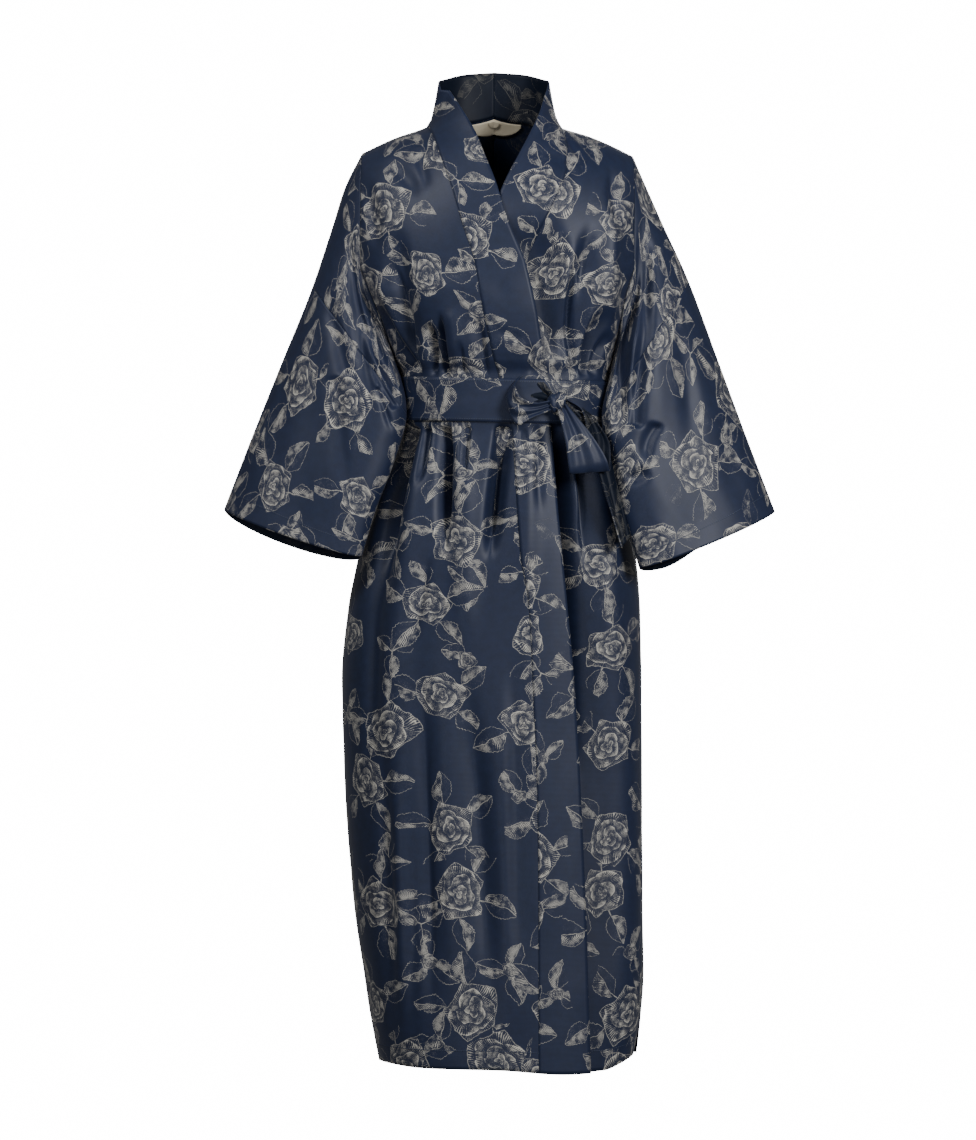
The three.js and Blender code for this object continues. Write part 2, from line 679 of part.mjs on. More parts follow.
// The rings of a stretch of sleeve, and the same rings moved in by the cloth
function sleeveRings(side, shares, gaps) {
  const count = SHOULDER_ROWS + ARMHOLE_ROWS;
  const ring = (share) => {
    const line = [];
    for (let step = 0; step <= count; step += 1) {
      line.push(sleevePoint(side, true, step / count, share));
    }
    for (let step = count - 1; step > 0; step -= 1) {
      line.push(sleevePoint(side, false, step / count, share));
    }
    line[0].y = 0;
    line[count].y = sleevePoint(side, true, 1, share).y;
    return line;
  };
  const outer = shares.map(ring);
  const inner = outer.map((line, row) => {
    const before = ring(Math.max(shares[row] - NORMAL_STEP, 0));
    const after = ring(Math.min(shares[row] + NORMAL_STEP, 1));
    return line.map((point, column) => {
      const down = after[column].clone().sub(before[column]);
      const around = line[(column + 1) % line.length].clone().sub(line.at(column - 1));
      return point.clone().addScaledVector(down.cross(around).normalize(), side * CLOTH);
    });
  });
  gaps.forEach(([row, towards, gap]) => {
    const directions = outer[row].map((point, column) => outer[towards][column].clone().sub(point).normalize());
    [outer, inner].forEach((grid) => {
      grid[row].forEach((point, column) => point.addScaledVector(directions[column], gap));
    });
  });
  return { outer, inner };
}

function sleevePieces(side) {
  const word = side < 0 ? 'right' : 'left';
  const seam = (side < 0 ? RIGHT_SLEEVE : LEFT_SLEEVE)[3].at;
  const upper = [0, 0.25, 0.5, 0.75, 1].map((share) => share * seam);
  const lower = [0, 0.14, 0.3, 0.48, 0.66, 0.83, 1].map((share) => seam + share * (1 - seam));
  const shoulder = sleeveRings(side, upper, [[0, 1, 3 * SEAM], [4, 3, SEAM]]);
  const sleeve = sleeveRings(side, lower, [[0, 1, SEAM]]);
  return [
    wall(`shoulder_${word}`, SATIN, shoulder.outer, shoulder.inner, true),
    wall(`sleeve_${word}`, SATIN, sleeve.outer, sleeve.inner, true),
  ];
}

function belt() {
  const grid = (inset) => [BELT_BOTTOM, (BELT_TOP + BELT_BOTTOM) / 2, BELT_TOP].map((level) => {
    const line = [];
    for (let column = 0; column < BELT_COLUMNS; column += 1) {
      const angle = (2 * Math.PI * column) / BELT_COLUMNS;
      const point = bodyPoint(angle, level, inset, 0);
      point.z -= 0.025 * point.x;
      line.push(point);
    }
    return line;
  });
  return wall('belt', SATIN, grid(-BELT_GAP - BELT_CLOTH), grid(-BELT_GAP), true);
}

// The knot is a soft block, rounder than a box and squarer than a ball
function knot() {
  const geometry = new THREE.SphereGeometry(1, 16, 10);
  geometry.deleteAttribute('normal');
  geometry.deleteAttribute('uv');
  const merged = mergeVertices(geometry, 1e-3);
  const places = merged.attributes.position;
  const positions = [];
  for (let index = 0; index < places.count; index += 1) {
    const point = new THREE.Vector3().fromBufferAttribute(places, index);
    positions.push(
      KNOT.x + KNOT.halfWidth * signedPower(point.x, 0.75),
      KNOT.y + KNOT.halfDepth * signedPower(point.y, 0.75),
      KNOT.z + KNOT.halfHeight * signedPower(point.z, 0.75),
    );
  }
  return solid('belt_knot', SATIN, positions, Array.from(merged.index.array));
}

// A loop of the bow: the belt's cloth goes out from the knot and comes back, gathered at the knot
function bowLoop(loop) {
  const root = new THREE.Vector3(...loop.root);
  const along = new THREE.Vector3(...loop.along);
  const across = new THREE.Vector3(...loop.across);
  const width = new THREE.Vector3(...loop.width);
  const steps = 24;
  const grid = (inset) => [-0.5, -0.17, 0.17, 0.5].map((part) => {
    const line = [];
    for (let step = 0; step < steps; step += 1) {
      const around = (2 * Math.PI * step) / steps;
      const reach = (1 - Math.cos(around)) / 2;
      const shrink = inset / along.length();
      const thin = 1 - inset / across.length();
      const gathered = loop.pinch + (1 - loop.pinch) * smooth(reach * 1.6);
      line.push(root.clone()
        .addScaledVector(along, shrink + reach * (1 - 2 * shrink))
        .addScaledVector(across, Math.sin(around) * (0.35 + 0.65 * reach) * thin)
        .addScaledVector(width, part * gathered));
    }
    return line;
  });
  return wall(loop.name, SATIN, grid(0), grid(BELT_CLOTH), true);
}

function tail() {
  const grid = (inset) => {
    const lines = [];
    for (let row = 0; row <= TAIL_ROWS; row += 1) {
      const share = row / TAIL_ROWS;
      const size = (column) => sizeAt(TAIL, share, column);
      const line = [];
      for (let column = -1; column <= 1; column += 1) {
        line.push(new THREE.Vector3(
          size('x') + column * size('sideX') - inset, size('y') + column * size('sideY'), size('z'),
        ));
      }
      lines.push(line);
    }
    return lines;
  };
  return wall('belt_tail', SATIN, grid(0), grid(BELT_CLOTH));
}

// Something sewn flat inside the back of the neck, made from the back's own points moved in
function neckPatch(name, halfWidth, highTurn, lowTurn, inset, thickness) {
  const columns = 10;
  const grid = (depth) => [0, 0.5, 1].map((rise) => {
    const line = [];
    for (let column = 0; column <= columns; column += 1) {
      const part = (2 * column) / columns - 1;
      const x = NECK_MIDDLE + halfWidth * part;
      const bow = Math.sqrt(Math.max(0.06, 1 - part * part));
      const top = backTurn(x) - highTurn;
      const turn = top - (lowTurn - highTurn) * bow * (1 - rise);
      const angle = 2 * Math.PI - angleAtX(x, CHEST);
      line.push(bodyPoint(angle, CHEST * (1 - turn / 90), depth));
    }
    return line;
  });
  return wall(name, LABEL_TAPE, grid(inset), grid(inset + thickness));
}

const robe = new THREE.Group();
robe.name = 'kimono_robe';
robe.add(backHalf(-1), backHalf(1), topFront(), underFront(), band(-1), band(1));
robe.add(...sleevePieces(-1), ...sleevePieces(1));
robe.add(belt(), knot(), ...LOOPS.map(bowLoop), tail());
robe.add(neckPatch('neck_label', LABEL_HALF_WIDTH, 1, LABEL_DEPTH_TURN, LABEL_INSET, LABEL_CLOTH));
robe.add(neckPatch('hang_loop', HANG_LOOP_HALF_WIDTH, 1.2, 5, LABEL_INSET + 2 * LABEL_CLOTH, LABEL_CLOTH));

export default robe;
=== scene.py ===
import math
import bpy
import numpy as np
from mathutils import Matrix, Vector


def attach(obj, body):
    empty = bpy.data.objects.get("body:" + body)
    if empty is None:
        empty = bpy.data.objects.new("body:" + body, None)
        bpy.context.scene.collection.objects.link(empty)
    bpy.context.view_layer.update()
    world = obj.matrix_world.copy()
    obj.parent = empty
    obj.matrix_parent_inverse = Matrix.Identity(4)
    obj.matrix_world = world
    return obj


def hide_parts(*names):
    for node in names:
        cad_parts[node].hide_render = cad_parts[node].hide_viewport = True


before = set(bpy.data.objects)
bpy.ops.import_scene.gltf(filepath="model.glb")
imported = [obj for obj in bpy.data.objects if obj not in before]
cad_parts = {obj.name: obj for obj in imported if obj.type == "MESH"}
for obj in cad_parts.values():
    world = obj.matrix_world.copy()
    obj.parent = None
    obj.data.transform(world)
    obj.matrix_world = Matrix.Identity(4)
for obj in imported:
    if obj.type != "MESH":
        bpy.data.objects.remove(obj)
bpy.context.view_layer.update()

# Sizes are in millimetres. The body, hems, fronts, collars and large folds are those of the part's
# source. The cloth's thickness, SLACK, the sleeves' inner edges, knot and bow are the scene's own
MM = 0.001
CLOTH = 1.2
BAND_CLOTH = 1.8
BELT_CLOTH = 1.8
LABEL_CLOTH = 0.7
SEAM = 0.15
LAP = 1.4
PROUD = 0.7
LAYER = 4.2
SLACK = 24
COVER_REACH = 75
COVER_FADE = 60
ROUNDNESS = 2.3
CHEST = -190
UNDERARM = -312
BELT_TOP = -336
BELT_BOTTOM = -394
BELT_GAP = 0.8
HEM_START = -1150
HEM = -1248
ARMHOLE_HALF_DEPTH = 56
NECK_MIDDLE = -5.5
NECK_HALF_WIDTH = 87.5
NECK_BACK_TURN = 58
QUARTER = math.pi / 2
FULL_TURN = 2 * math.pi
FRONT_COLUMNS = 156

# The body's level sections: side edges in x, front and back depth
BODY = {
    "at": [
        -1250, -1185, -1130, -1033, -894, -740, -644, -576, -523,
        -470, -430, -402, -330, -312, -285, -222, -190,
    ],
    "right": [
        -158, -169, -177, -191, -203, -207, -200, -187, -174,
        -158, -139, -130, -130, -139, -147, -179, -196,
    ],
    "left": [184, 190, 193, 192, 192, 190, 189, 184, 174, 163, 154, 151, 151, 156, 161, 180, 194],
    "front": [128, 129, 130, 130, 131, 132, 131, 129, 126, 120, 114, 109, 109, 118, 125, 130, 124],
    "back": [132, 132, 131, 130, 130, 132, 134, 134, 128, 118, 106, 98, 98, 104, 110, 115, 116],
}
SHOULDER = {"at": [0, 40, 60, 88, 130, 190], "height": [55, 36, 21, 0, -14, -41]}
FRONT_HEM = {
    "at": [-170, -100, 0, 90, 140, 165, 190],
    "height": [-1238, -1246, -1248, -1254, -1251, -1241, -1226],
}
BACK_HEM = {"at": [-158, -90, 20, 110, 184], "height": [-1239, -1252, -1257, -1255, -1231]}

# The fronts, by level: where the band is sewn on, and the band's free edge
TOP_FRONT = {
    "at": [-1250, -1116, -894, -766, -629, -576, -403, -339, -299, -237, -190, -158, -127, -95, -63, -32, 0],
    "seam": [55, 55, 53, 48, 41, 31, 19, 4, -7, -20, -28, -46, -60, -73, -82, -89, -93],
    "edge": [122, 118, 109, 102, 90, 85, 70, 66, 59, 49, 38, 20, 6, -16, -32, -48, -64],
}
UNDER_FRONT = {
    "at": [-1250, -900, -630, -399, -333, -260, -190, -158, -127, -95, -63, -32, 0],
    "seam": [-48, -42, -24, -4, 4, 22, 41, 59, 76, 89, 90, 87, 82],
    "edge": [-108, -102, -84, -62, -56, -42, -24, -9, 9, 27, 43, 57, 64],
}
TOP_COLLAR = {
    "at": [-190, -158, -127, -95, -63, -32, 0],
    "x": [35, 11, -3, -17, -30, -48, -65],
    "y": [-124, -119, -107, -92, -72, -48, -20],
    "z": [-180, -122, -76, -41, -9, 22, 48],
}
UNDER_COLLAR = {
    "at": [-190, -158, -127, -95, -63, -32, 0],
    "x": [-23, -7, 9, 26, 42, 56, 64],
    "y": [-119, -114, -103, -88, -68, -44, -18],
    "z": [-166, -116, -75, -42, -11, 19, 45],
}
BACK_COLLAR = {
    "at": [0, 0.17, 0.4, 0.7, 1],
    "out": [71, 74, 63, 38, 0],
    "y": [-19, 3, 34, 58, 66],
    "z": [47, 60, 66, 73, 76],
}

# Large folds, the same as the part's: top level and x, low level and x, depth, half width
FRONT_FOLDS = [
    (-150, -137, -322, -112, -9, 13), (-190, -160, -318, -122, 8, 12),
    (-262, -92, -326, -77, -7, 9), (-240, -62, -328, -52, 5, 12),
    (-250, -30, -328, -22, -4, 9), (-150, 118, -330, 101, -9, 11),
    (-165, 96, -330, 84, 6, 12), (-240, 140, -328, 118, -8, 9),
    (-110, 152, -318, 140, 7, 12), (-402, -122, -690, -172, -13, 13),
    (-402, -98, -760, -142, 7, 16), (-402, -68, -560, -70, -10, 9),
    (-402, -46, -720, -44, 6, 16), (-402, 12, -590, -14, -9, 10),
    (-402, 40, -640, 36, 5, 14), (-404, 112, -600, 146, -8, 10),
    (-430, 126, -800, 160, 6, 15), (-640, -58, -1230, -22, -5, 18),
    (-560, -146, -1240, -120, 5, 22), (-700, -98, -1240, -84, -5, 16),
    (-720, 4, -1240, 20, 4, 20), (-760, 150, -1240, 146, -7, 16),
]
BACK_FOLDS = [
    (-120, -120, -326, -96, -8, 13), (-200, -74, -328, -66, 5, 13),
    (-230, -36, -328, -34, -6, 11), (-150, 10, -328, 6, -4, 13),
    (-210, 44, -328, 38, 5, 12), (-130, 92, -328, 78, -8, 12),
    (-120, 146, -320, 118, -6, 12), (-402, -104, -700, -150, -11, 14),
    (-402, -70, -640, -92, 6, 14), (-402, -44, -900, -54, -9, 13),
    (-402, -8, -700, -10, 5, 15), (-402, 26, -840, 30, -10, 12),
    (-402, 60, -620, 76, 6, 13), (-402, 90, -760, 130, -11, 14),
    (-760, -110, -1240, -104, -6, 20), (-700, 60, -1240, 66, 5, 22),
    (-880, 110, -1240, 112, -6, 18),
]

# Creases: from x and z to x and z, bow sideways, depth, width on their right and left as worn
FRONT_CREASES = [
    (-113, -397, -160, -600, -4, -17, 5, 8), (-68, -398, -72, -570, 2, -23, 10, 3.5),
    (5, -398, -12, -585, -2, -21, 6, 10), (-40, -398, -44, -470, 0, -9, 5, 3),
    (-95, -398, -104, -480, 0, -11, 3, 5), (30, -398, 34, -450, 0, -5, 4, 4),
    (-112, -398, -124, -450, 0, -6, 4, 3), (52, -398, 56, -520, 0, -5, 6, 4),
    (-45, -690, -8, -1212, 4, -9, 12, 16), (-104, -700, -90, -1200, 0, -6, 12, 8),
    (-150, -780, -140, -1230, 0, -7, 10, 10), (-118, -820, -112, -1230, 0, -6, 8, 10),
    (-160, -600, -172, -860, 0, -7, 8, 12), (20, -660, 28, -1180, 0, -5, 12, 12),
    (-90, -560, -120, -700, 0, -5, 8, 8), (-156, -228, -117, -327, 0, -15, 9, 4.5),
    (-150, -165, -113, -324, 4, -8, 7, 5), (-128, -262, -104, -328, 0, -9, 5, 3),
    (-92, -262, -84, -329, 0, -14, 6, 3), (-77, -250, -68, -331, 0, -17, 6, 3),
    (-50, -285, -45, -331, 0, -5, 4, 3), (-24, -260, -16, -331, 0, -5, 5, 4),
    (104, -170, 105, -331, 0, -15, 8, 3), (132, -250, 112, -331, 0, -15, 4, 6),
    (90, -262, 92, -331, 0, -6, 4, 4), (146, -270, 124, -331, 0, -9, 4, 5),
    (66, -268, 74, -331, 0, -7, 4, 4), (40, -290, 46, -331, 0, -4, 4, 4),
    (122, -120, 118, -260, 0, -4, 9, 7), (-153, -40, -100, -97, 0, -4.5, 10, 14),
    (-110, -30, -92, -90, 0, -2.5, 6, 8), (-175, -70, -160, -170, 0, -5, 8, 10),
    (84, -8, 118, -52, 0, -3.5, 5, 4), (96, -4, 132, -44, 0, -3, 4, 4),
    (78, -16, 100, -70, 0, -3, 4, 4), (150, -48, 158, -150, 0, -6, 8, 8),
    (-30, -205, 22, -230, 0, -2.5, 8, 6), (-10, -270, 40, -290, 0, -2.5, 7, 5),
]
BACK_CREASES = [
    (-120, -210, -98, -327, 0, -11, 7, 4), (-92, -262, -80, -329, 0, -8, 5, 3),
    (-62, -240, -56, -331, 0, -8, 4, 5), (-30, -272, -26, -331, 0, -6, 4, 3),
    (-6, -250, -4, -331, 0, -7, 5, 4), (24, -276, 24, -331, 0, -6, 3, 4),
    (54, -246, 50, -331, 0, -8, 4, 5), (84, -262, 76, -331, 0, -8, 3, 5),
    (122, -214, 104, -329, 0, -11, 4, 7), (146, -250, 122, -329, 0, -7, 4, 6),
    (-118, -398, -140, -560, 0, -13, 5, 9), (-88, -398, -98, -500, 0, -8, 7, 3),
    (-58, -398, -66, -600, 0, -12, 8, 4), (-26, -398, -30, -500, 0, -7, 4, 5),
    (4, -398, 2, -640, 0, -12, 6, 9), (36, -398, 42, -520, 0, -8, 3, 6),
    (66, -398, 78, -590, 0, -12, 9, 4), (98, -398, 112, -480, 0, -8, 4, 5),
    (126, -398, 146, -570, 0, -12, 9, 5), (-60, -700, -70, -1200, 0, -8, 14, 12),
    (-120, -760, -124, -1220, 0, -7, 10, 12), (20, -740, 26, -1210, 0, -8, 12, 14),
    (90, -720, 96, -1210, 0, -7, 12, 10), (150, -780, 146, -1200, 0, -7, 10, 10),
    (-150, -50, -140, -190, 0, -5, 8, 10), (150, -50, 142, -190, 0, -5, 10, 8),
    (-60, -90, 10, -110, 0, -3, 9, 9),
]
SLEEVE_FRONT_CREASES = [
    (-193, -50, -174, -210, 4, -24, 9, 6), (-178, -170, -138, -300, -4, -22, 10, 6),
    (-184, -214, -130, -356, -10, -10, 6, 6), (-170, -300, -134, -376, -4, -9, 5, 4),
    (-160, -345, -138, -410, 0, -7, 4, 4), (-230, -210, -200, -330, 0, -5, 10, 8),
    (-215, -330, -200, -500, 0, -4, 12, 10), (-280, -330, -304, -490, 0, -3.5, 14, 14),
    (178, -84, 164, -310, 6, -30, 10, 12), (168, -270, 158, -420, 0, -26, 9, 11),
    (198, -120, 190, -270, 4, -8, 6, 8), (188, -270, 180, -400, 0, -9, 7, 9),
    (212, -392, 196, -448, -8, -8, 9, 8), (200, -448, 164, -466, 6, -10, 8, 8),
    (236, -240, 262, -430, 0, -5, 12, 14), (300, -340, 318, -490, 0, -3.5, 14, 14),
]
SLEEVE_BACK_CREASES = [
    (-190, -70, -168, -230, 4, -12, 8, 6), (-172, -230, -140, -330, 0, -10, 7, 5),
    (-210, -250, -170, -380, 0, -7, 9, 8), (-250, -300, -262, -470, 0, -4, 13, 12),
    (-310, -390, -322, -490, 0, -3, 14, 14), (190, -70, 170, -240, -4, -12, 6, 8),
    (176, -240, 158, -340, 0, -10, 5, 7), (214, -250, 184, -390, 0, -7, 8, 9),
    (254, -300, 268, -470, 0, -4, 12, 13), (312, -390, 326, -490, 0, -3, 14, 14),
]

# Deep folds of the under front, beside the top front's free edge and below the bow
UNDER_FOLDS = [
    (-380, 82, -880, 110, -62, 13), (-380, 100, -560, 118, 9, 9), (-384, 120, -620, 134, -14, 8),
]

# The sleeves: outer edge down the arm, inner edge below it, and the half depths
RIGHT_SLEEVE = {
    "at": [0, 0.1, 0.2, 0.365, 0.6, 0.8, 1],
    "outX": [-183, -205, -221, -247, -289, -327, -364], "outY": [0, 0, 0, -2, -5, -8, -10],
    "outZ": [-37, -82, -134, -213, -317, -412, -508],
    "inX": [-137, -129, -124, -121, -137, -161, -180], "inY": [0, -18, -38, -60, -70, -76, -80],
    "inZ": [-312, -327, -345, -382, -445, -508, -570],
    "front": [56, 49, 51, 54, 50, 46, 42], "back": [56, 54, 56, 58, 56, 50, 44],
}
LEFT_SLEEVE = {
    "at": [0, 0.1, 0.2, 0.355, 0.6, 0.8, 1],
    "outX": [181, 201, 222, 254, 294, 331, 368], "outY": [0, 0, 0, -2, -5, -8, -10],
    "outZ": [-37, -84, -134, -206, -314, -414, -511],
    "inX": [154, 147, 142, 137, 148, 166, 186], "inY": [0, -18, -38, -64, -76, -82, -86],
    "inZ": [-312, -330, -350, -388, -452, -520, -585],
    "front": [56, 50, 52, 55, 52, 48, 43], "back": [56, 54, 56, 58, 56, 50, 44],
}
# The sleeve's first ring stands off the body by this share of its length
SLEEVE_START = 0.004
SLEEVE_BLEND = 0.3
# Creases fade out over these shares of the cloth, at the armhole and at the side
SEAM_CALM = 0.08
SIDE_CALM = 0.14
FRONT_CUFF_DIP = 8
BACK_CUFF_DIP = 20
LEFT_CUFF_DIP_START = 0.4

# Sleeve folds: face, from share and place, to share and place, depth, width
SLEEVE_FOLDS = [
    ("front", 0.04, 0.3, 0.5, 0.62, -10, 0.07), ("front", 0.08, 0.55, 0.42, 0.84, -9, 0.06),
    ("front", 0.12, 0.42, 0.5, 0.74, 7, 0.06), ("front", 0.5, 0.45, 1.1, 0.5, -4, 0.1),
    ("back", 0.05, 0.35, 0.55, 0.66, -9, 0.07), ("back", 0.1, 0.55, 0.45, 0.82, 7, 0.07),
    ("back", 0.5, 0.4, 1.1, 0.46, -5, 0.1),
]

# The knot's wrap: its middle, the half sizes of its ring and its half width
KNOT = {"x": 78, "y": -116, "z": -368, "half_depth": 11, "half_height": 13, "half_width": 12}

# Strips of the bow by share along them: middle of the strip, and the half width as a direction
LOOP_RIGHT = {
    "at": [0, 0.14, 0.32, 0.46, 0.54, 0.64, 0.74, 0.86, 1],
    "x": [72, 54, 34, 18, 11, 15, 28, 48, 70], "y": [-113, -107, -106, -109, -118, -132, -139, -132, -121],
    "z": [-364, -354, -349, -355, -363, -374, -381, -378, -371],
    "wideX": [0, 4, 4, 1, 0, 1, 1, 0, 0], "wideY": [0, 1, 2, 1, -1, -3, -3, -1, 0],
    "wideZ": [6, 14, 22, 22, 19, 21, 17, 9, 6],
}
LOOP_LEFT = {
    "at": [0, 0.14, 0.3, 0.42, 0.5, 0.58, 0.7, 0.84, 1],
    "x": [84, 93, 107, 118, 121, 124, 131, 119, 84],
    "y": [-121, -126, -130, -129, -122, -113, -107, -109, -112],
    "z": [-372, -390, -419, -449, -461, -450, -418, -386, -366],
    "wideX": [5, 9, 17, 25, 26, 24, 16, 9, 3], "wideY": [1, 2, 4, 5, 6, 6, 5, 3, 1],
    "wideZ": [3, 5, 6, 4, 2, 1, -4, -7, -6],
}
TAIL = {
    "at": [0, 0.14, 0.42, 0.75, 1], "x": [90, 120, 138, 154, 168], "y": [-112, -102, -98, -101, -102],
    "z": [-368, -396, -442, -498, -552], "wideX": [3, 9, 11, 9, 6], "wideY": [5, 8, 11, 13, 12],
    "wideZ": [3, 4, 4, 4, 8],
}

# Label inside the back of the neck
LABEL_HALF_WIDTH = 37
LABEL_INSET = 3
LABEL_DEPTH_TURN = 9
HANG_LOOP_HALF_WIDTH = 7

# Sewing thread
THREAD_WIDTH = 0.9
THREAD_HEIGHT = 0.35
STITCH = 3.2
HEM_FOLD = 24
CUFF_FOLD = 22
BELT_SEWING = 4
BODY_MIDDLE = (0, 0, -600)

# Camera: the photograph's frame, in pixels and in millimetres at the middle of the robe
PHOTO_HEIGHT = 1140
PIXEL = 1.33
FRAME_MIDDLE = (-13.3, -589)
CAMERA_DISTANCE = 12000

# Lights in metres: name, place, what they point at, size and watts
LIGHTS = [
    ("key", (2.0, -2.7, 0.6), (0, 0, -0.5), 0.9, 112),
    ("shoulder", (-1.5, -1.7, 1.5), (-0.12, 0, -0.1), 0.6, 46),
    ("low", (-0.9, -3.4, -0.9), (0, 0, -0.8), 1.4, 16),
    ("behind", (0.5, 3.3, 0.3), (0, 0, -0.6), 1.4, 55),
]
PAPER_GLOW = 16
ROOM_GLOW = 0.16


def size_at(table, place, column):
    """Reads a column of a table at many places, with a smooth curve through its rows."""
    at = np.asarray(table["at"], float)
    value = np.asarray(table[column], float)
    place = np.clip(np.asarray(place, float), at[0], at[-1])
    span = np.diff(at)
    slope = np.diff(value) / span
    bend = np.empty(len(at))
    bend[0] = slope[0]
    bend[-1] = slope[-1]
    product = slope[:-1] * slope[1:]
    total = slope[:-1] + slope[1:]
    safe = np.where(product > 0, total, 1)
    bend[1:-1] = np.where(product > 0, 2 * product / safe, 0)
    row = np.clip(np.searchsorted(at, place, side="right") - 1, 0, len(at) - 2)
    t = (place - at[row]) / span[row]
    near = value[row] * (1 + 2 * t) * (1 - t) ** 2 + bend[row] * span[row] * t * (1 - t) ** 2
    far = value[row + 1] * t * t * (3 - 2 * t) - bend[row + 1] * span[row] * t * t * (1 - t)
    return near + far


def smooth(value):
    t = np.clip(value, 0, 1)
    return t * t * (3 - 2 * t)


def signed_power(value, power):
    return np.sign(value) * np.abs(value) ** power


def fold_at(x, level, folds):
    """Height of a list of folds at places on the body; they die out at the belt."""
    total = np.zeros(np.broadcast(x, level).shape)
    for top, top_x, low, low_x, depth, width in folds:
        share = (top - level) / (top - low)
        inside = (share > 0) & (share < 1)
        middle = top_x + (low_x - top_x) * share
        fade = smooth(share * 4) * smooth((1 - share) * 2.5)
        total = total + np.where(inside, depth * fade * np.exp(-(((x - middle) / width) ** 2)), 0)
    return total


def crease_at(x, z, creases):
    """Depth of a list of creases at places seen from the front; sharp at the belt, fading elsewhere."""
    total = np.zeros(np.broadcast(x, z).shape)
    for x0, z0, x1, z1, bow, depth, right, left in creases:
        length = math.hypot(x1 - x0, z1 - z0)
        along_x, along_z = (x1 - x0) / length, (z1 - z0) / length
        along = (x - x0) * along_x + (z - z0) * along_z
        share = along / length
        across = (z - z0) * along_x - (x - x0) * along_z
        across = across - bow * 4 * share * (1 - share)
        reach = np.where(across < 0, right, left)
        ends = []
        for end_z, distance in ((z0, along), (z1, length - along)):
            at_belt = -402 < end_z < -322
            ends.append(smooth(distance / (6 if at_belt else 0.4 * length)))
        total = total + depth * ends[0] * ends[1] * np.exp(-((across / reach) ** 2))
    return total


def ripple(a, b, seed):
    """Small uneven waves, about a millimetre high, that break up the smooth cloth."""
    wave = np.sin(a / 31 + 1.7 * np.sin(b / 83 + seed) + seed)
    wave = wave * np.sin(b / 117 + 1.3 * np.sin(a / 57 + 2 * seed))
    fine = np.sin(a / 13 + 2.1 * np.sin(b / 41 + seed)) * np.sin(b / 67 + 1.1 * np.sin(a / 29 + seed))
    return wave + 0.35 * fine


def body_point(angle, level, inset, fold_share=1.0):
    """Points of the body's cloth, by angle round it and level: the part's form, creased and rippled."""
    angle, level = np.broadcast_arrays(np.asarray(angle, float), np.asarray(level, float))
    height = np.minimum(level, CHEST)
    turn = np.where(level > CHEST, QUARTER * (1 - level / CHEST), 0)
    right = size_at(BODY, height, "right")
    left = size_at(BODY, height, "left")
    front = np.sin(angle) > 0
    across = signed_power(np.cos(angle), 2 / ROUNDNESS)
    away = signed_power(np.sin(angle), 2 / ROUNDNESS)
    flat_x = (left + right) / 2 + (left - right) / 2 * across
    fold = np.where(
        front, fold_at(flat_x, level, FRONT_FOLDS), fold_at(flat_x, level, BACK_FOLDS)
    )
    flat_ridge = size_at(SHOULDER, np.abs(flat_x - NECK_MIDDLE), "height")
    flat_z = np.where(level > CHEST, CHEST + (flat_ridge - CHEST) * np.sin(turn), level)
    crease = np.where(
        front, crease_at(flat_x, flat_z, FRONT_CREASES), crease_at(flat_x, flat_z, BACK_CREASES)
    )
    fold = fold + crease * smooth((1 - np.abs(across)) / SIDE_CALM)
    free = smooth(np.maximum(BELT_BOTTOM - 8 - level, level - BELT_TOP - 6) / 40)
    fold = fold + free * ripple(flat_x + np.where(front, 0, 400), level, np.where(front, 0.4, 2.1)) * 0.9
    lift = fold * fold_share - inset
    x = (left + right) / 2 + ((left - right) / 2 + lift) * across
    depth = np.where(front, size_at(BODY, height, "front"), size_at(BODY, height, "back")) + lift
    ridge = size_at(SHOULDER, np.abs(x - NECK_MIDDLE), "height")
    over = CHEST + (ridge + lift - CHEST) * np.sin(turn)
    hem = np.where(front, size_at(FRONT_HEM, x, "height"), size_at(BACK_HEM, x, "height"))
    low_share = np.clip((HEM_START - level) / (HEM_START - HEM), 0, 2)
    under = level + (hem - HEM) * low_share**2
    z = np.where(level > CHEST, over, under)
    return np.stack([x, -depth * away * np.cos(turn), z], axis=-1)


def angle_at_x(x, level):
    height = np.minimum(level, CHEST)
    right = size_at(BODY, height, "right")
    left = size_at(BODY, height, "left")
    across = (2 * x - left - right) / (left - right)
    return np.arccos(np.clip(signed_power(across, ROUNDNESS / 2), -1, 1))


def side_angle(level, is_front):
    height = np.minimum(level, CHEST)
    share = np.clip((height - CHEST) / (UNDERARM - CHEST), 0, 1)
    half_depth = np.maximum(SEAM, ARMHOLE_HALF_DEPTH * np.sqrt(1 - share * share))
    depth = size_at(BODY, height, "front" if is_front else "back")
    return np.arcsin((half_depth / depth) ** (ROUNDNESS / 2))


def under_point(angle, level, inset, fold_share=1.0):
    """Points of the under front: deeper and plainer where the top front covers it."""
    x = body_point(angle, level, 0, 0)[..., 0]
    cover = smooth((size_at(TOP_FRONT, level, "edge") + COVER_REACH - x) / COVER_FADE)
    belt_distance = np.maximum(BELT_BOTTOM - 8 - level, level - BELT_TOP - 8)
    slack = SLACK * smooth(belt_distance / 60) * smooth((CHEST + 70 - level) / 60)
    deep = fold_at(x, level, UNDER_FOLDS) * fold_share
    return body_point(angle, level, inset + (LAYER + slack) * cover - deep, (1 - cover) * fold_share)


def body_levels(rows_below=184, rows_above=40, rows_arm=30):
    """Levels of the rows from the hem to the ridge of the shoulders."""
    skirt = np.linspace(HEM, UNDERARM, rows_below, endpoint=False)
    arm = CHEST + (UNDERARM - CHEST) * np.sin(QUARTER * np.linspace(1, 0, rows_arm, endpoint=False))
    shoulder = CHEST * (1 - np.linspace(0, 1, rows_above + 1))
    shoulder[-1] = -SEAM
    return np.concatenate([skirt, arm, shoulder])


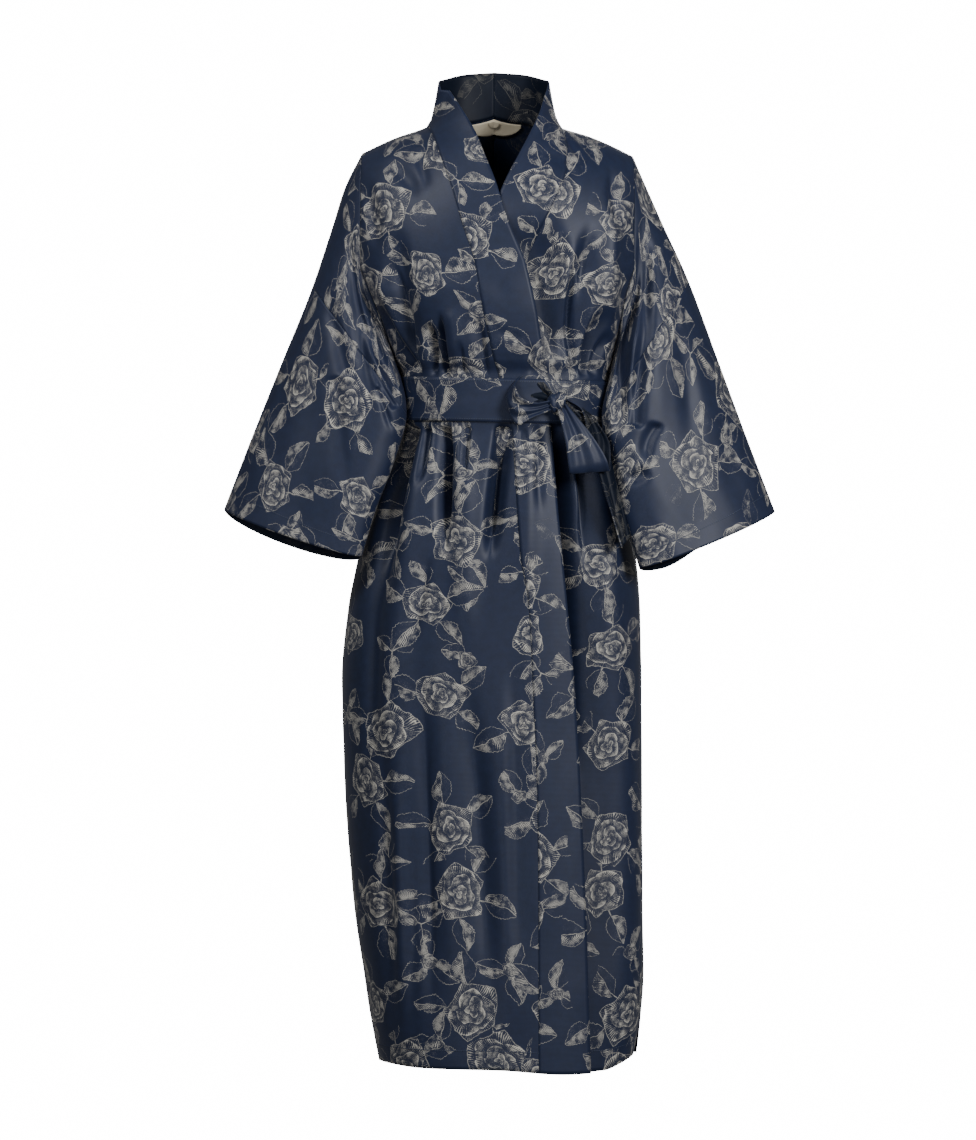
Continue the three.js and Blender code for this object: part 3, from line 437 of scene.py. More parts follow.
def front_grid(levels, columns, first, last, point_at, fold_share=1.0):
    share = np.linspace(0, 1, columns + 1)[None, :]
    angle = first[:, None] * (1 - share) + last[:, None] * share
    return point_at(angle, levels[:, None], 0, fold_share)


def back_turn(x):
    share = np.clip(np.abs(x - NECK_MIDDLE) / NECK_HALF_WIDTH, 0, 1)
    return 90 - (90 - NECK_BACK_TURN) * np.sqrt(1 - share * share)


def back_point(angle, level, inset, fold_share=1.0):
    """Points of the back; rows above the chest are squeezed below the neck's curve."""
    angle, level = np.broadcast_arrays(angle, level)
    x = body_point(angle, np.full_like(level, CHEST), 0, 0)[..., 0]
    share = 1 - level / CHEST
    squeezed = CHEST * (1 - share * back_turn(x) / 90)
    return body_point(angle, np.where(level > CHEST, squeezed, level), inset, fold_share)


def back_grid(levels, side, columns=96, fold_share=1.0):
    """One half of the back, with its columns closer together near the end of the neck."""
    edge = side_angle(levels, False)
    middle = math.pi - angle_at_x(NECK_MIDDLE, np.full_like(levels, CHEST))
    share_middle = (middle - edge) / (math.pi - 2 * edge)
    neck_end = math.pi - angle_at_x(NECK_MIDDLE + side * NECK_HALF_WIDTH, np.full_like(levels, CHEST))
    share_end = (neck_end - edge) / (math.pi - 2 * edge)
    share_outer = 1.0 if side > 0 else 0.0
    inner_steps = np.sin(QUARTER * np.linspace(0, 1, columns // 2 + 1))
    outer_steps = np.linspace(0, 1, columns // 2 + 1)[1:]
    shares = np.concatenate([
        share_middle[:, None] + (share_end - share_middle)[:, None] * inner_steps[None, :],
        share_end[:, None] + (share_outer - share_end)[:, None] * outer_steps[None, :],
    ], axis=1)
    angle = math.pi + edge[:, None] + (math.pi - 2 * edge)[:, None] * shares
    points = back_point(angle, levels[:, None], 0, fold_share)
    points[:, 0, 0] -= side * LAP / 2
    return points


def neck_point(side, share, inset):
    around = QUARTER * share
    x = NECK_MIDDLE + side * NECK_HALF_WIDTH * np.cos(around)
    turn = 90 - (90 - NECK_BACK_TURN) * np.sin(around)
    angle = FULL_TURN - angle_at_x(x, np.full_like(x, CHEST))
    return body_point(angle, CHEST * (1 - turn / 90), inset)


def band_grid(side, levels, columns=14, neck_rows=44):
    """A band from the hem up the front and round to the middle of the back of the neck."""
    table = TOP_FRONT if side < 0 else UNDER_FRONT
    collar = TOP_COLLAR if side < 0 else UNDER_COLLAR
    point_at = body_point if side < 0 else under_point
    share = np.linspace(0, 1, columns + 1)[None, :]
    seam = size_at(table, levels, "seam") + side * LAP
    edge = size_at(table, levels, "edge")
    x = seam[:, None] + (edge - seam)[:, None] * share
    level = np.broadcast_to(levels[:, None], x.shape)
    points = point_at(angle_at_x(x, level), level, -PROUD)
    free = np.stack([size_at(collar, levels, axis) for axis in "xyz"], axis=-1)
    root = points[:, 0]
    straight = root[:, None, :] + (free - root)[:, None, :] * share[..., None]
    rise = smooth((levels - CHEST + 60) / 60)[:, None, None]
    front = points * (1 - rise) + straight * rise
    step = np.linspace(0, 1, neck_rows + 1)[1:]
    base = neck_point(side, step, -PROUD)
    base[:, 2] -= 2 * LAP
    top = np.stack([
        NECK_MIDDLE + side * size_at(BACK_COLLAR, step, "out"),
        size_at(BACK_COLLAR, step, "y"),
        size_at(BACK_COLLAR, step, "z"),
    ], axis=-1)
    back = base[:, None, :] + (top - base)[:, None, :] * share[..., None]
    back[-1, :, 0] -= side * LAP / 2
    return np.concatenate([front, back])


def armhole_line(side, is_front, place):
    """The armhole, from the ridge of the shoulder (0) to the underarm (1)."""
    turn_share = np.clip(place * 2, 0, 1)
    level = CHEST * turn_share
    level = np.where(place > 0.5, CHEST + (UNDERARM - CHEST) * np.sin(QUARTER * (place * 2 - 1)), level)
    level = np.minimum(level, -SEAM)
    gap = side_angle(level, is_front)
    angle = math.pi - gap if side < 0 else gap
    if not is_front:
        angle = FULL_TURN - angle
    return body_point(angle, level, 0)


def sleeve_fold(face, place, share):
    total = np.zeros(np.broadcast(place, share).shape)
    for name, start, start_place, end, end_place, depth, width in SLEEVE_FOLDS:
        if name == face:
            part = (share - start) / (end - start)
            middle = start_place + (end_place - start_place) * part
            fade = smooth(part * 3) * smooth((1 - part) * 3)
            inside = (part > 0) & (part < 1)
            total = total + np.where(inside, depth * fade * np.exp(-(((place - middle) / width) ** 2)), 0)
    return total


def sleeve_face(side, is_front, place, share, fold_share):
    table = RIGHT_SLEEVE if side < 0 else LEFT_SLEEVE
    place = place[None, :]
    share = share[:, None]
    high = np.stack([size_at(table, share, "out" + axis) for axis in "XYZ"], axis=-1)
    low = np.stack([size_at(table, share, "in" + axis) for axis in "XYZ"], axis=-1)
    root = armhole_line(side, is_front, place)
    root_share = (root[..., 2] - table["inZ"][0]) / (table["outZ"][0] - table["inZ"][0])
    root_shift = root[..., 0] - (table["inX"][0] + (table["outX"][0] - table["inX"][0]) * root_share)
    blend = smooth(share / SLEEVE_BLEND)
    ring_share = (1 + np.cos(math.pi * place)) / 2
    along = root_share + (ring_share - root_share) * blend
    points = low + (high - low) * along[..., None]
    points[..., 0] += root_shift * (1 - blend)
    swell = np.sin(math.pi * place)
    face = "front" if is_front else "back"
    waves = 1.1 * smooth(share * 5) * ripple(place * 500 + (0 if is_front else 300), share * 480, 1.3 + side)
    creases = SLEEVE_FRONT_CREASES if is_front else SLEEVE_BACK_CREASES
    fold = sleeve_fold(face, place, share) + waves + crease_at(points[..., 0], points[..., 2], creases)
    fold = fold * smooth(share / SEAM_CALM)
    half = size_at(table, share, face) + fold * fold_share
    ring_y = points[..., 1] + (-half if is_front else half) * swell
    points[..., 1] = root[..., 1] + (ring_y - root[..., 1]) * blend
    dip = FRONT_CUFF_DIP if is_front else BACK_CUFF_DIP
    if side > 0 and not is_front:
        dip = dip * smooth((place - LEFT_CUFF_DIP_START) * 3)
    points[..., 2] -= dip * swell * smooth(share) ** 2
    return points


def sleeve_grid(side, start, end, rows, columns=108, fold_share=1.0):
    """A stretch of sleeve as a tube, from its outer edge round the front and back again."""
    place = np.linspace(0, 1, columns + 1)
    share = np.linspace(start, end, rows + 1)
    front = sleeve_face(side, True, place, share, fold_share)
    back = sleeve_face(side, False, place, share, fold_share)
    front[:, 0, 1] = 0.5 * (front[:, 0, 1] + back[:, 0, 1])
    front[:, -1] = 0.5 * (front[:, -1] + back[:, -1])
    return np.concatenate([front, back[:, -2:0:-1], front[:, :1]], axis=1)


def linear(value):
    return value / 12.92 if value <= 0.04045 else ((value + 0.055) / 1.055) ** 2.4


def colour(hex_value):
    parts = [((hex_value >> shift) & 255) / 255 for shift in (16, 8, 0)]
    return (*[linear(part) for part in parts], 1)


def add_node(tree, kind, inputs=None, **settings):
    """Adds a node, sets its properties or sockets by name, and links or sets its inputs."""
    node = tree.nodes.new(kind)
    for name, value in settings.items():
        if hasattr(node, name):
            setattr(node, name, value)
        else:
            node.inputs[name.replace("_", " ")].default_value = value
    for socket, source in (inputs or {}).items():
        if isinstance(source, bpy.types.NodeSocket):
            tree.links.new(source, node.inputs[socket])
        else:
            node.inputs[socket].default_value = source
    return node


class Sums:
    """Arithmetic in one node tree, with every node added by add_node."""

    def __init__(self, tree):
        self.tree = tree

    def do(self, operation, *values):
        node = add_node(self.tree, "ShaderNodeMath", dict(enumerate(values)), operation=operation)
        return node.outputs[0]

    def step(self, value, low, high):
        inputs = {"Value": value, "From Min": low, "From Max": high}
        node = add_node(self.tree, "ShaderNodeMapRange", inputs, interpolation_type="SMOOTHSTEP")
        return node.outputs["Result"]


def new_material(name):
    material = bpy.data.materials.new(name)
    material.use_nodes = True
    tree = material.node_tree
    return material, tree, tree.nodes["Principled BSDF"]


# Flower pattern, in millimetres
ROSE_CELL = 120
SPRIG_CELL = 78
ROSE_RADIUS = 37
LEAF_LENGTH = 47
SPRIG_CLEARANCE = 58
THREAD_HATCH = 1.6


def shaken(tree, place, size, reach):
    """The place moved a little by a noise, so that nothing drawn with it is even."""
    noise = add_node(
        tree, "ShaderNodeTexNoise", {"Vector": place}, noise_dimensions="2D", Scale=1 / (size * MM), Detail=1,
    )
    shares = {0: noise.outputs["Color"], 1: (0.5, 0.5, 0.5)}
    centred = add_node(tree, "ShaderNodeVectorMath", shares, operation="SUBTRACT")
    lengths = {0: centred.outputs[0], "Scale": 2 * reach * MM}
    scaled = add_node(tree, "ShaderNodeVectorMath", lengths, operation="SCALE")
    moved = add_node(tree, "ShaderNodeVectorMath", {0: place, 1: scaled.outputs[0]}, operation="ADD")
    return moved.outputs[0]


def motif_cells(tree, place, cell, ragged):
    return add_node(
        tree, "ShaderNodeTexVoronoi", {"Vector": place},
        voronoi_dimensions="2D", feature="F1", Scale=1 / (cell * MM), Randomness=ragged,
    )


def motif_field(tree, sums, place, cells):
    """Distance and direction from the nearest motif's middle, and three chances of its own."""
    do = sums.do
    away = add_node(
        tree, "ShaderNodeVectorMath", {0: place, 1: cells.outputs["Position"]}, operation="SUBTRACT",
    )
    parts = add_node(tree, "ShaderNodeSeparateXYZ", {0: away.outputs[0]})
    chance = add_node(tree, "ShaderNodeSeparateColor", {0: cells.outputs["Color"]})
    x = do("MULTIPLY", parts.outputs[0], 1 / MM)
    y = do("MULTIPLY", parts.outputs[1], 1 / MM)
    radius = do("SQRT", do("ADD", do("MULTIPLY", x, x), do("MULTIPLY", y, y)))
    direction = do("ARCTAN2", y, x)
    return radius, direction, chance.outputs[0], chance.outputs[1], chance.outputs[2]


def rose(sums, radius, direction, size, turn, noise):
    """A full rose: petals wound outwards in overlapping scallops, each brighter towards its rim."""
    do, step = sums.do, sums.step
    angle = do("ADD", direction, do("MULTIPLY", turn, FULL_TURN))
    squash = do("ADD", 1.0, do("MULTIPLY", do("COSINE", do("MULTIPLY", angle, 2.0)), 0.1))
    q = do("MULTIPLY", do("DIVIDE", radius, size), squash)
    spiral = do("MULTIPLY", do("POWER", do("MAXIMUM", q, 0.001), 0.68), 4.2)
    wound = do("ADD", spiral, do("DIVIDE", angle, FULL_TURN))
    ring = do("FLOOR", wound)
    lobe = do("ADD", do("MULTIPLY", angle, 1.5), do("MULTIPLY", ring, 2.4))
    scallop = do("ABSOLUTE", do("SINE", lobe))
    inside = do("FRACT", do("SUBTRACT", wound, do("MULTIPLY", scallop, 0.62)))
    rim = do("MULTIPLY", step(inside, 0.88, 0.95), 0.35)
    tone = do("ADD", do("MULTIPLY", do("POWER", inside, 1.3), 0.62), rim)
    uneven = do("ADD", 0.3, step(noise, 0.25, 0.75))
    comb = do("MULTIPLY", do("SINE", do("MULTIPLY", angle, 84.0)), 0.34)
    tone = do("ADD", do("MULTIPLY", do("ADD", tone, 0.24), uneven), comb)
    wave = do("ABSOLUTE", do("SINE", do("MULTIPLY", angle, 2.5)))
    edge = do("SUBTRACT", 1.0, do("MULTIPLY", wave, 0.2))
    gap = do("SUBTRACT", q, edge)
    within = step(gap, 0.02, -0.02)
    outline = do("MULTIPLY", step(do("ABSOLUTE", gap), 0.018, 0.006), 0.8)
    return do("MAXIMUM", do("MULTIPLY", tone, within), outline), within


def leaves(sums, radius, direction, start, turn, count, length, noise, dropped):
    """Leaves that stand round a middle: toothed outline, midrib, veins and one shaded side."""
    do, step = sums.do, sums.step
    angle = do("ADD", direction, do("MULTIPLY", turn, FULL_TURN))
    sector = FULL_TURN / count
    slot = do("FLOOR", do("DIVIDE", angle, sector))
    local = do("SUBTRACT", do("SUBTRACT", angle, do("MULTIPLY", slot, sector)), sector / 2)
    mixed = do("ADD", do("MULTIPLY", slot, 12.99), do("MULTIPLY", turn, 78.2))
    lot = do("FRACT", do("MULTIPLY", do("SINE", mixed), 43.7))
    lean = do("ADD", local, do("MULTIPLY", do("SUBTRACT", lot, 0.5), 0.4))
    reach = do("MULTIPLY", radius, do("COSINE", lean))
    own = do("MULTIPLY", length, do("ADD", 0.72, do("MULTIPLY", lot, 0.42)))
    u = do("DIVIDE", do("SUBTRACT", reach, start), own)
    bend = do("MULTIPLY", do("SUBTRACT", lot, 0.6), 26.0)
    curl = do("MULTIPLY", do("MULTIPLY", u, u), bend)
    v = do("ADD", do("MULTIPLY", radius, do("SINE", lean)), curl)
    bounded = do("MINIMUM", do("MAXIMUM", u, 0.0), 1.0)
    belly = do("SINE", do("MULTIPLY", do("POWER", bounded, 0.78), math.pi))
    teeth = do("MULTIPLY", do("SINE", do("MULTIPLY", u, 70.0)), 0.5)
    width = do("MULTIPLY", belly, do("ADD", teeth, do("MULTIPLY", own, 0.33)))
    side = do("ABSOLUTE", v)
    spare = do("SUBTRACT", width, side)
    along = do("MULTIPLY", step(u, 0.0, 0.02), step(u, 1.0, 0.98))
    within = do("MULTIPLY", step(spare, -0.2, 0.3), along)
    outline = do("MULTIPLY", step(do("ABSOLUTE", spare), 0.5, 0.15), along)
    rib = do("MULTIPLY", step(side, 0.7, 0.3), along)
    slant = do("SUBTRACT", u, do("MULTIPLY", side, 0.018))
    vein = do("MULTIPLY", step(do("SINE", do("MULTIPLY", slant, 140.0)), -0.2, 0.9), 0.65)
    near_rib = do("MULTIPLY", step(side, 15.0, 0.5), 0.5)
    half = do("ADD", 0.35, do("MULTIPLY", step(v, -2.0, 4.0), 0.75))
    tone = do("MULTIPLY", do("ADD", near_rib, vein), half)
    tone = do("MULTIPLY", tone, do("ADD", 0.3, step(noise, 0.2, 0.75)))
    stalk_part = do("MULTIPLY", step(u, -0.55, -0.5), step(u, 0.02, 0.0))
    stalk = do("MULTIPLY", step(side, 1.2, 0.5), stalk_part)
    lines = do("MULTIPLY", do("MAXIMUM", do("MAXIMUM", outline, rib), stalk), 0.8)
    kept = step(lot, dropped, dropped + 0.01)
    ink = do("MAXIMUM", lines, do("MULTIPLY", tone, within))
    return do("MULTIPLY", ink, kept), do("MULTIPLY", within, kept)


def flower_ink(tree, place):
    """How dense the figure's threads are: roses with leaves, and sprigs and buds between them."""
    sums = Sums(tree)
    do, step = sums.do, sums.step
    drawn = shaken(tree, shaken(tree, shaken(tree, place, 38, 5.5), 13, 2.0), 5, 0.5)
    noise = add_node(
        tree, "ShaderNodeTexNoise", {"Vector": place}, noise_dimensions="2D", Scale=95, Detail=2,
    ).outputs["Fac"]
    cells = motif_cells(tree, drawn, ROSE_CELL, 0.66)
    radius, direction, one, two, three = motif_field(tree, sums, drawn, cells)
    size = do("ADD", do("MULTIPLY", one, 15.0), ROSE_RADIUS - 8)
    rose_ink, rose_in = rose(sums, radius, direction, size, two, noise)
    start = do("MULTIPLY", size, 0.9)
    leaf_ink, leaf_in = leaves(sums, radius, direction, start, three, 5, LEAF_LENGTH, noise, 0.3)
    bare = do("SUBTRACT", 1.0, rose_in)
    first = do("MAXIMUM", rose_ink, do("MULTIPLY", leaf_ink, bare))
    covered = do("MAXIMUM", rose_in, leaf_in)
    sprigs = motif_cells(tree, drawn, SPRIG_CELL, 0.85)
    radius2, direction2, four, five, six = motif_field(tree, sums, drawn, sprigs)
    owner = motif_cells(tree, sprigs.outputs["Position"], ROSE_CELL, 0.66)
    apart = do("MULTIPLY", owner.outputs["Distance"], ROSE_CELL)
    free = step(apart, SPRIG_CLEARANCE - 0.5, SPRIG_CLEARANCE)
    sprig_ink, _ = leaves(sums, radius2, direction2, 5.0, four, 3, LEAF_LENGTH * 0.82, noise, 0.12)
    bud_size = do("ADD", do("MULTIPLY", five, 7.0), 9.0)
    bud_ink, bud_in = rose(sums, radius2, direction2, bud_size, six, noise)
    budded = step(six, 0.4, 0.41)
    hidden = do("SUBTRACT", 1.0, do("MULTIPLY", bud_in, budded))
    sprig = do("ADD", do("MULTIPLY", bud_ink, budded), do("MULTIPLY", sprig_ink, hidden))
    open_ground = do("MULTIPLY", do("SUBTRACT", 1.0, covered), free)
    return sums, do("MAXIMUM", first, do("MULTIPLY", sprig, open_ground)), noise


def jacquard_satin(name, ground, ground_light, figure, figure_light, strength, shine):
    """Jacquard satin of polyester: a warp-faced navy ground that shines softly, with the figure
    floated in champagne weft threads, which look like sketched lines."""
    material, tree, shader = new_material(name)
    place = add_node(tree, "ShaderNodeUVMap", uv_map="cloth").outputs["UV"]
    sums, ink, noise = flower_ink(tree, place)
    do, step = sums.do, sums.step
    parts = add_node(tree, "ShaderNodeSeparateXYZ", {0: place})
    thread = do("SINE", do("MULTIPLY", parts.outputs[1], FULL_TURN / (THREAD_HATCH * MM)))
    patch = add_node(
        tree, "ShaderNodeTexNoise", {"Vector": place}, noise_dimensions="2D", Scale=1000, Detail=1,
    ).outputs["Fac"]
    level = do("ADD", do("MULTIPLY", patch, 1.3), do("MULTIPLY", thread, 0.1))
    dots = step(do("SUBTRACT", ink, level), -0.3, 0.35)
    weight = do("MULTIPLY", dots, strength)
    grounds = {"Factor": noise, 6: colour(ground), 7: colour(ground_light)}
    base = add_node(tree, "ShaderNodeMix", grounds, data_type="RGBA")
    figures = {"Factor": step(ink, 0.2, 1.1), 6: colour(figure), 7: colour(figure_light)}
    top = add_node(tree, "ShaderNodeMix", figures, data_type="RGBA")
    both = {"Factor": weight, 6: base.outputs[2], 7: top.outputs[2]}
    mixed = add_node(tree, "ShaderNodeMix", both, data_type="RGBA")
    tree.links.new(mixed.outputs[2], shader.inputs["Base Color"])
    rough = do("ADD", 0.5, do("MULTIPLY", weight, 0.12))
    tree.links.new(rough, shader.inputs["Roughness"])
    height = do("ADD", do("MULTIPLY", thread, 0.15), weight)
    relief = add_node(tree, "ShaderNodeBump", {"Height": height}, Strength=0.25, Distance=0.0004)
    tree.links.new(relief.outputs[0], shader.inputs["Normal"])
    shader.inputs["Specular IOR Level"].default_value = shine
    shader.inputs["Sheen Weight"].default_value = shine / 5
    shader.inputs["Sheen Roughness"].default_value = 0.4
    return material


def woven_tape(name, light, dark):
    """Woven polyester tape: cream, dull, with a fine rib across it."""
    material, tree, shader = new_material(name)
    place = add_node(tree, "ShaderNodeTexCoord").outputs["Object"]
    ribs = add_node(tree, "ShaderNodeTexWave", {"Vector": place}, bands_direction="X", Scale=300)
    both = {"Factor": ribs.outputs["Fac"], 6: colour(dark), 7: colour(light)}
    mixed = add_node(tree, "ShaderNodeMix", both, data_type="RGBA")
    tree.links.new(mixed.outputs[2], shader.inputs["Base Color"])
    relief = add_node(tree, "ShaderNodeBump", {"Height": ribs.outputs["Fac"]}, Strength=0.3, Distance=0.0002)
    tree.links.new(relief.outputs[0], shader.inputs["Normal"])
    shader.inputs["Roughness"].default_value = 0.75
    return material


def sewing_thread(name, thread, cloth):
    """Spun polyester sewing thread: short stitches, with the cloth's own colour between them."""
    material, tree, shader = new_material(name)
    place = add_node(tree, "ShaderNodeUVMap", uv_map="cloth").outputs["UV"]
    parts = add_node(tree, "ShaderNodeSeparateXYZ", {0: place})
    sums = Sums(tree)
    wave = sums.do("SINE", sums.do("MULTIPLY", parts.outputs[0], FULL_TURN / (STITCH * MM)))
    both = {"Factor": sums.step(wave, -0.6, -0.3), 6: colour(cloth), 7: colour(thread)}
    mixed = add_node(tree, "ShaderNodeMix", both, data_type="RGBA")
    tree.links.new(mixed.outputs[2], shader.inputs["Base Color"])
    shader.inputs["Roughness"].default_value = 0.6
    return material


THREAD = sewing_thread("polyester_thread", 0x26314c, 0x0a0f1a)
SATIN = jacquard_satin("jacquard_satin_face", 0x141c31, 0x19233d, 0x6e6d6c, 0xb8b4a9, 0.92, 0.3)
# The same satin made darker: painted shade for the inner faces of the bands and the bow's strips
SHADED = jacquard_satin("jacquard_satin_painted_shade", 0x0c111d, 0x101724, 0x40403f, 0x5f5d58, 0.8, 0.1)
REVERSE = jacquard_satin("jacquard_satin_reverse", 0x131a2b, 0x172034, 0x38383e, 0x4a4844, 0.5, 0.1)
TAPE = woven_tape("woven_label_tape", 0xe4dac4, 0xcabd9f)


def cloth_lengths(points):
    """Distances along the cloth, in both directions of a grid of points."""
    across = np.zeros(points.shape[:2])
    steps = np.linalg.norm(np.diff(points, axis=1), axis=-1)
    across[:, 1:] = np.cumsum(steps, axis=1)
    along = np.zeros(points.shape[:2])
    rises = np.linalg.norm(np.diff(points, axis=0), axis=-1)
    along[1:] = np.cumsum(rises, axis=0)
    return across, along


def cloth_sheet(name, points, thickness, shift, finish=None, ring=False, smoothed=None):
    """A sheet of cloth through a grid of points, with its pattern laid along it, given a wall inwards.
    The pattern is measured on the smoothed grid, which has no folds."""
    smoothed = points if smoothed is None else smoothed
    middle = points.reshape(-1, 3).mean(axis=0)
    half = points.shape[0] // 2
    quarter = points.shape[1] // 2
    across_step = points[half, quarter + 1] - points[half, quarter]
    along_step = points[half + 1, quarter] - points[half, quarter]
    normal = np.cross(across_step, along_step)
    if np.dot(normal, points[half, quarter] - middle) < 0:
        points = points[:, ::-1]
        smoothed = smoothed[:, ::-1]
    rows = points.shape[0] - 1
    columns = points.shape[1] - 1
    across, along = cloth_lengths(smoothed)
    across = across - 0.5 * across[:, -1:]
    along = np.broadcast_to(along.mean(axis=1, keepdims=True), along.shape)
    bpy.ops.object.select_all(action="DESELECT")
    bpy.ops.mesh.primitive_grid_add(x_subdivisions=columns, y_subdivisions=rows, size=2, location=(0, 0, 0))
    piece = bpy.context.object
    piece.name = name
    mesh = piece.data
    mesh.name = name
    count = (rows + 1) * (columns + 1)
    flat = np.empty(count * 3)
    mesh.vertices.foreach_get("co", flat)
    flat = flat.reshape(-1, 3)
    column = np.rint((flat[:, 0] + 1) / 2 * columns).astype(int)
    row = np.rint((flat[:, 1] + 1) / 2 * rows).astype(int)
    mesh.vertices.foreach_set("co", (points[row, column] * MM).ravel())
    corner = np.empty(len(mesh.loops), int)
    mesh.loops.foreach_get("vertex_index", corner)
    u = (across[row, column] * MM + shift[0])[corner]
    v = (along[row, column] * MM + shift[1])[corner]
    layer = mesh.uv_layers[0]
    layer.name = "cloth"
    layer.data.foreach_set("uv", np.stack((u, v), axis=-1).ravel())
    mesh.update()
    if ring:
        bpy.ops.object.mode_set(mode="EDIT")
        bpy.ops.mesh.select_all(action="SELECT")
        bpy.ops.mesh.remove_doubles(threshold=0.00002)
        bpy.ops.object.mode_set(mode="OBJECT")
    for part in (finish or (SATIN, REVERSE)):
        mesh.materials.append(part)
    wall = piece.modifiers.new("wall", "SOLIDIFY")
    wall.thickness = thickness * MM
    wall.offset = -1
    wall.use_even_offset = False
    wall.material_offset = 1 if len(mesh.materials) > 1 else 0
    wall.material_offset_rim = 0
    bpy.ops.object.modifier_apply(modifier="wall")
    bpy.ops.object.shade_smooth()
    return piece


def declare(piece, node, points):
    """Attaches a sheet to the root and hides the node it stands for; works out its greatest flat width,
    length and area, which are not used.
    """
    across, along = cloth_lengths(points)
    width = float(across[:, -1].max()) * MM
    length = float(along[-1].max()) * MM
    corner = points[:-1, :-1]
    steps = np.linalg.norm(np.cross(points[:-1, 1:] - corner, points[1:, :-1] - corner), axis=-1)
    area = float(steps.sum()) * MM * MM
    area = min(area, width * length)
    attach(piece, "root")
    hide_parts(node)


LEVELS = body_levels()


def stitch_row(name, line, outwards):
    """A row of machine stitches: a narrow raised ribbon along a line, with gaps in its material."""
    along = np.gradient(line, axis=0)
    along /= np.linalg.norm(along, axis=1, keepdims=True)
    sideways = np.cross(outwards, along)
    sideways /= np.linalg.norm(sideways, axis=1, keepdims=True)
    middle = line + outwards * (THREAD_HEIGHT - 0.1)
    part = np.linspace(-0.5, 0.5, 4)[:, None, None]
    points = middle[None] + sideways[None] * THREAD_WIDTH * part
    piece = cloth_sheet(name, points, THREAD_HEIGHT, (0, 0), finish=(THREAD,))
    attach(piece, "root")


def sew_edge(name, points, depth, middle):
    """A row of stitches at the given depth from the first row of a sheet's grid."""
    away = np.linalg.norm(points - points[:1], axis=-1).mean(axis=1)
    row = max(1, int(np.argmin(np.abs(away - depth))))
    line = points[row]
    outwards = np.cross(np.gradient(line, axis=0), points[row + 1] - points[row - 1])
    outwards /= np.linalg.norm(outwards, axis=1, keepdims=True)
    outwards *= np.sign((outwards * (line - middle)).sum())
    stitch_row(name, line, outwards)


def lowest_first(points):
    return points if points[0, :, 2].mean() < points[-1, :, 2].mean() else points[::-1]


def add_body_sheet(node, grids, shift):
    """One sheet of the body with its hem's stitches, from its folded grid and its smoothed one."""
    points, smoothed = grids
    sew_edge(f"{node}_hem_thread", lowest_first(points), HEM_FOLD, BODY_MIDDLE)
    piece = cloth_sheet(f"{node}_cloth", points, CLOTH, shift, smoothed=smoothed)
    declare(piece, node, points)


def make_body():
    for side, word, table, point_at, shift in (
        (-1, "right", TOP_FRONT, body_point, (0.11, 0.05)),
        (1, "left", UNDER_FRONT, under_point, (1.31, 0.42)),
    ):
        seam = angle_at_x(size_at(table, LEVELS, "seam") + side * SEAM, LEVELS)
        edge = side_angle(LEVELS, True)
        first, last = (seam, math.pi - edge) if side < 0 else (edge, seam)
        grids = [front_grid(LEVELS, FRONT_COLUMNS, first, last, point_at, share) for share in (1, 0)]
        add_body_sheet(f"front_{word}", grids, shift)
    for side, word, shift in ((-1, "right", (2.2, 0.3)), (1, "left", (3.1, 0.77))):
        grids = [back_grid(LEVELS, side, fold_share=share) for share in (1, 0)]
        add_body_sheet(f"back_{word}", grids, shift)


def make_bands():
    for side, word, shift in ((-1, "right", (4.05, 0.21)), (1, "left", (5.3, 0.64))):
        points = band_grid(side, LEVELS)
        # The band's inner face gets the satin darkened with painted shade
        piece = cloth_sheet(f"band_{word}_cloth", points, BAND_CLOTH, shift, finish=(SATIN, SHADED))
        declare(piece, f"band_{word}", points)


def make_sleeves():
    for side, word, shift in ((-1, "right", (6.2, 0.1)), (1, "left", (7.4, 0.5))):
        table = RIGHT_SLEEVE if side < 0 else LEFT_SLEEVE
        seam = table["at"][3]
        for node, start, end, rows, offset, carrier in (
            (f"shoulder_{word}", SLEEVE_START, seam, 60, 0, f"front_{word}_cloth"),
            (f"sleeve_{word}", seam, 1, 96, 0.6, f"shoulder_{word}_cloth"),
        ):
            points, smoothed = [sleeve_grid(side, start, end, rows, fold_share=share) for share in (1, 0)]
            place = (shift[0] + offset, shift[1])
            if offset:
                cuff = lowest_first(points)
                sew_edge(f"{node}_cuff_thread", cuff, CUFF_FOLD, cuff[0].mean(axis=0))
            piece = cloth_sheet(f"{node}_cloth", points, CLOTH, place, ring=True, smoothed=smoothed)
            declare(piece, node, points)


def make_belt():
    share = np.linspace(0, 1, 241)
    angle = FULL_TURN * share
    level = np.linspace(BELT_BOTTOM, BELT_TOP, 17)
    points = body_point(angle[None, :], level[:, None], -BELT_GAP - BELT_CLOTH, 0)
    points[..., 2] -= 0.025 * points[..., 0]
    rise = (level[:, None] - BELT_BOTTOM) / (BELT_TOP - BELT_BOTTOM)
    crease = 0.5 * np.sin(rise * 9 + 2.2 * np.sin(angle[None, :] * 3)) * np.sin(rise * math.pi)
    outwards = np.stack([np.cos(angle), -np.sin(angle), np.zeros_like(angle)], axis=-1)[None]
    points = points + outwards * crease[..., None]
    points[:, -1] = points[:, 0]
    sew_edge("belt_lower_thread", points, BELT_SEWING, BODY_MIDDLE)
    sew_edge("belt_upper_thread", points[::-1], BELT_SEWING, BODY_MIDDLE)
    piece = cloth_sheet("belt_cloth", points, BELT_CLOTH, (8.3, 0.2), ring=True)
    declare(piece, "belt", points)


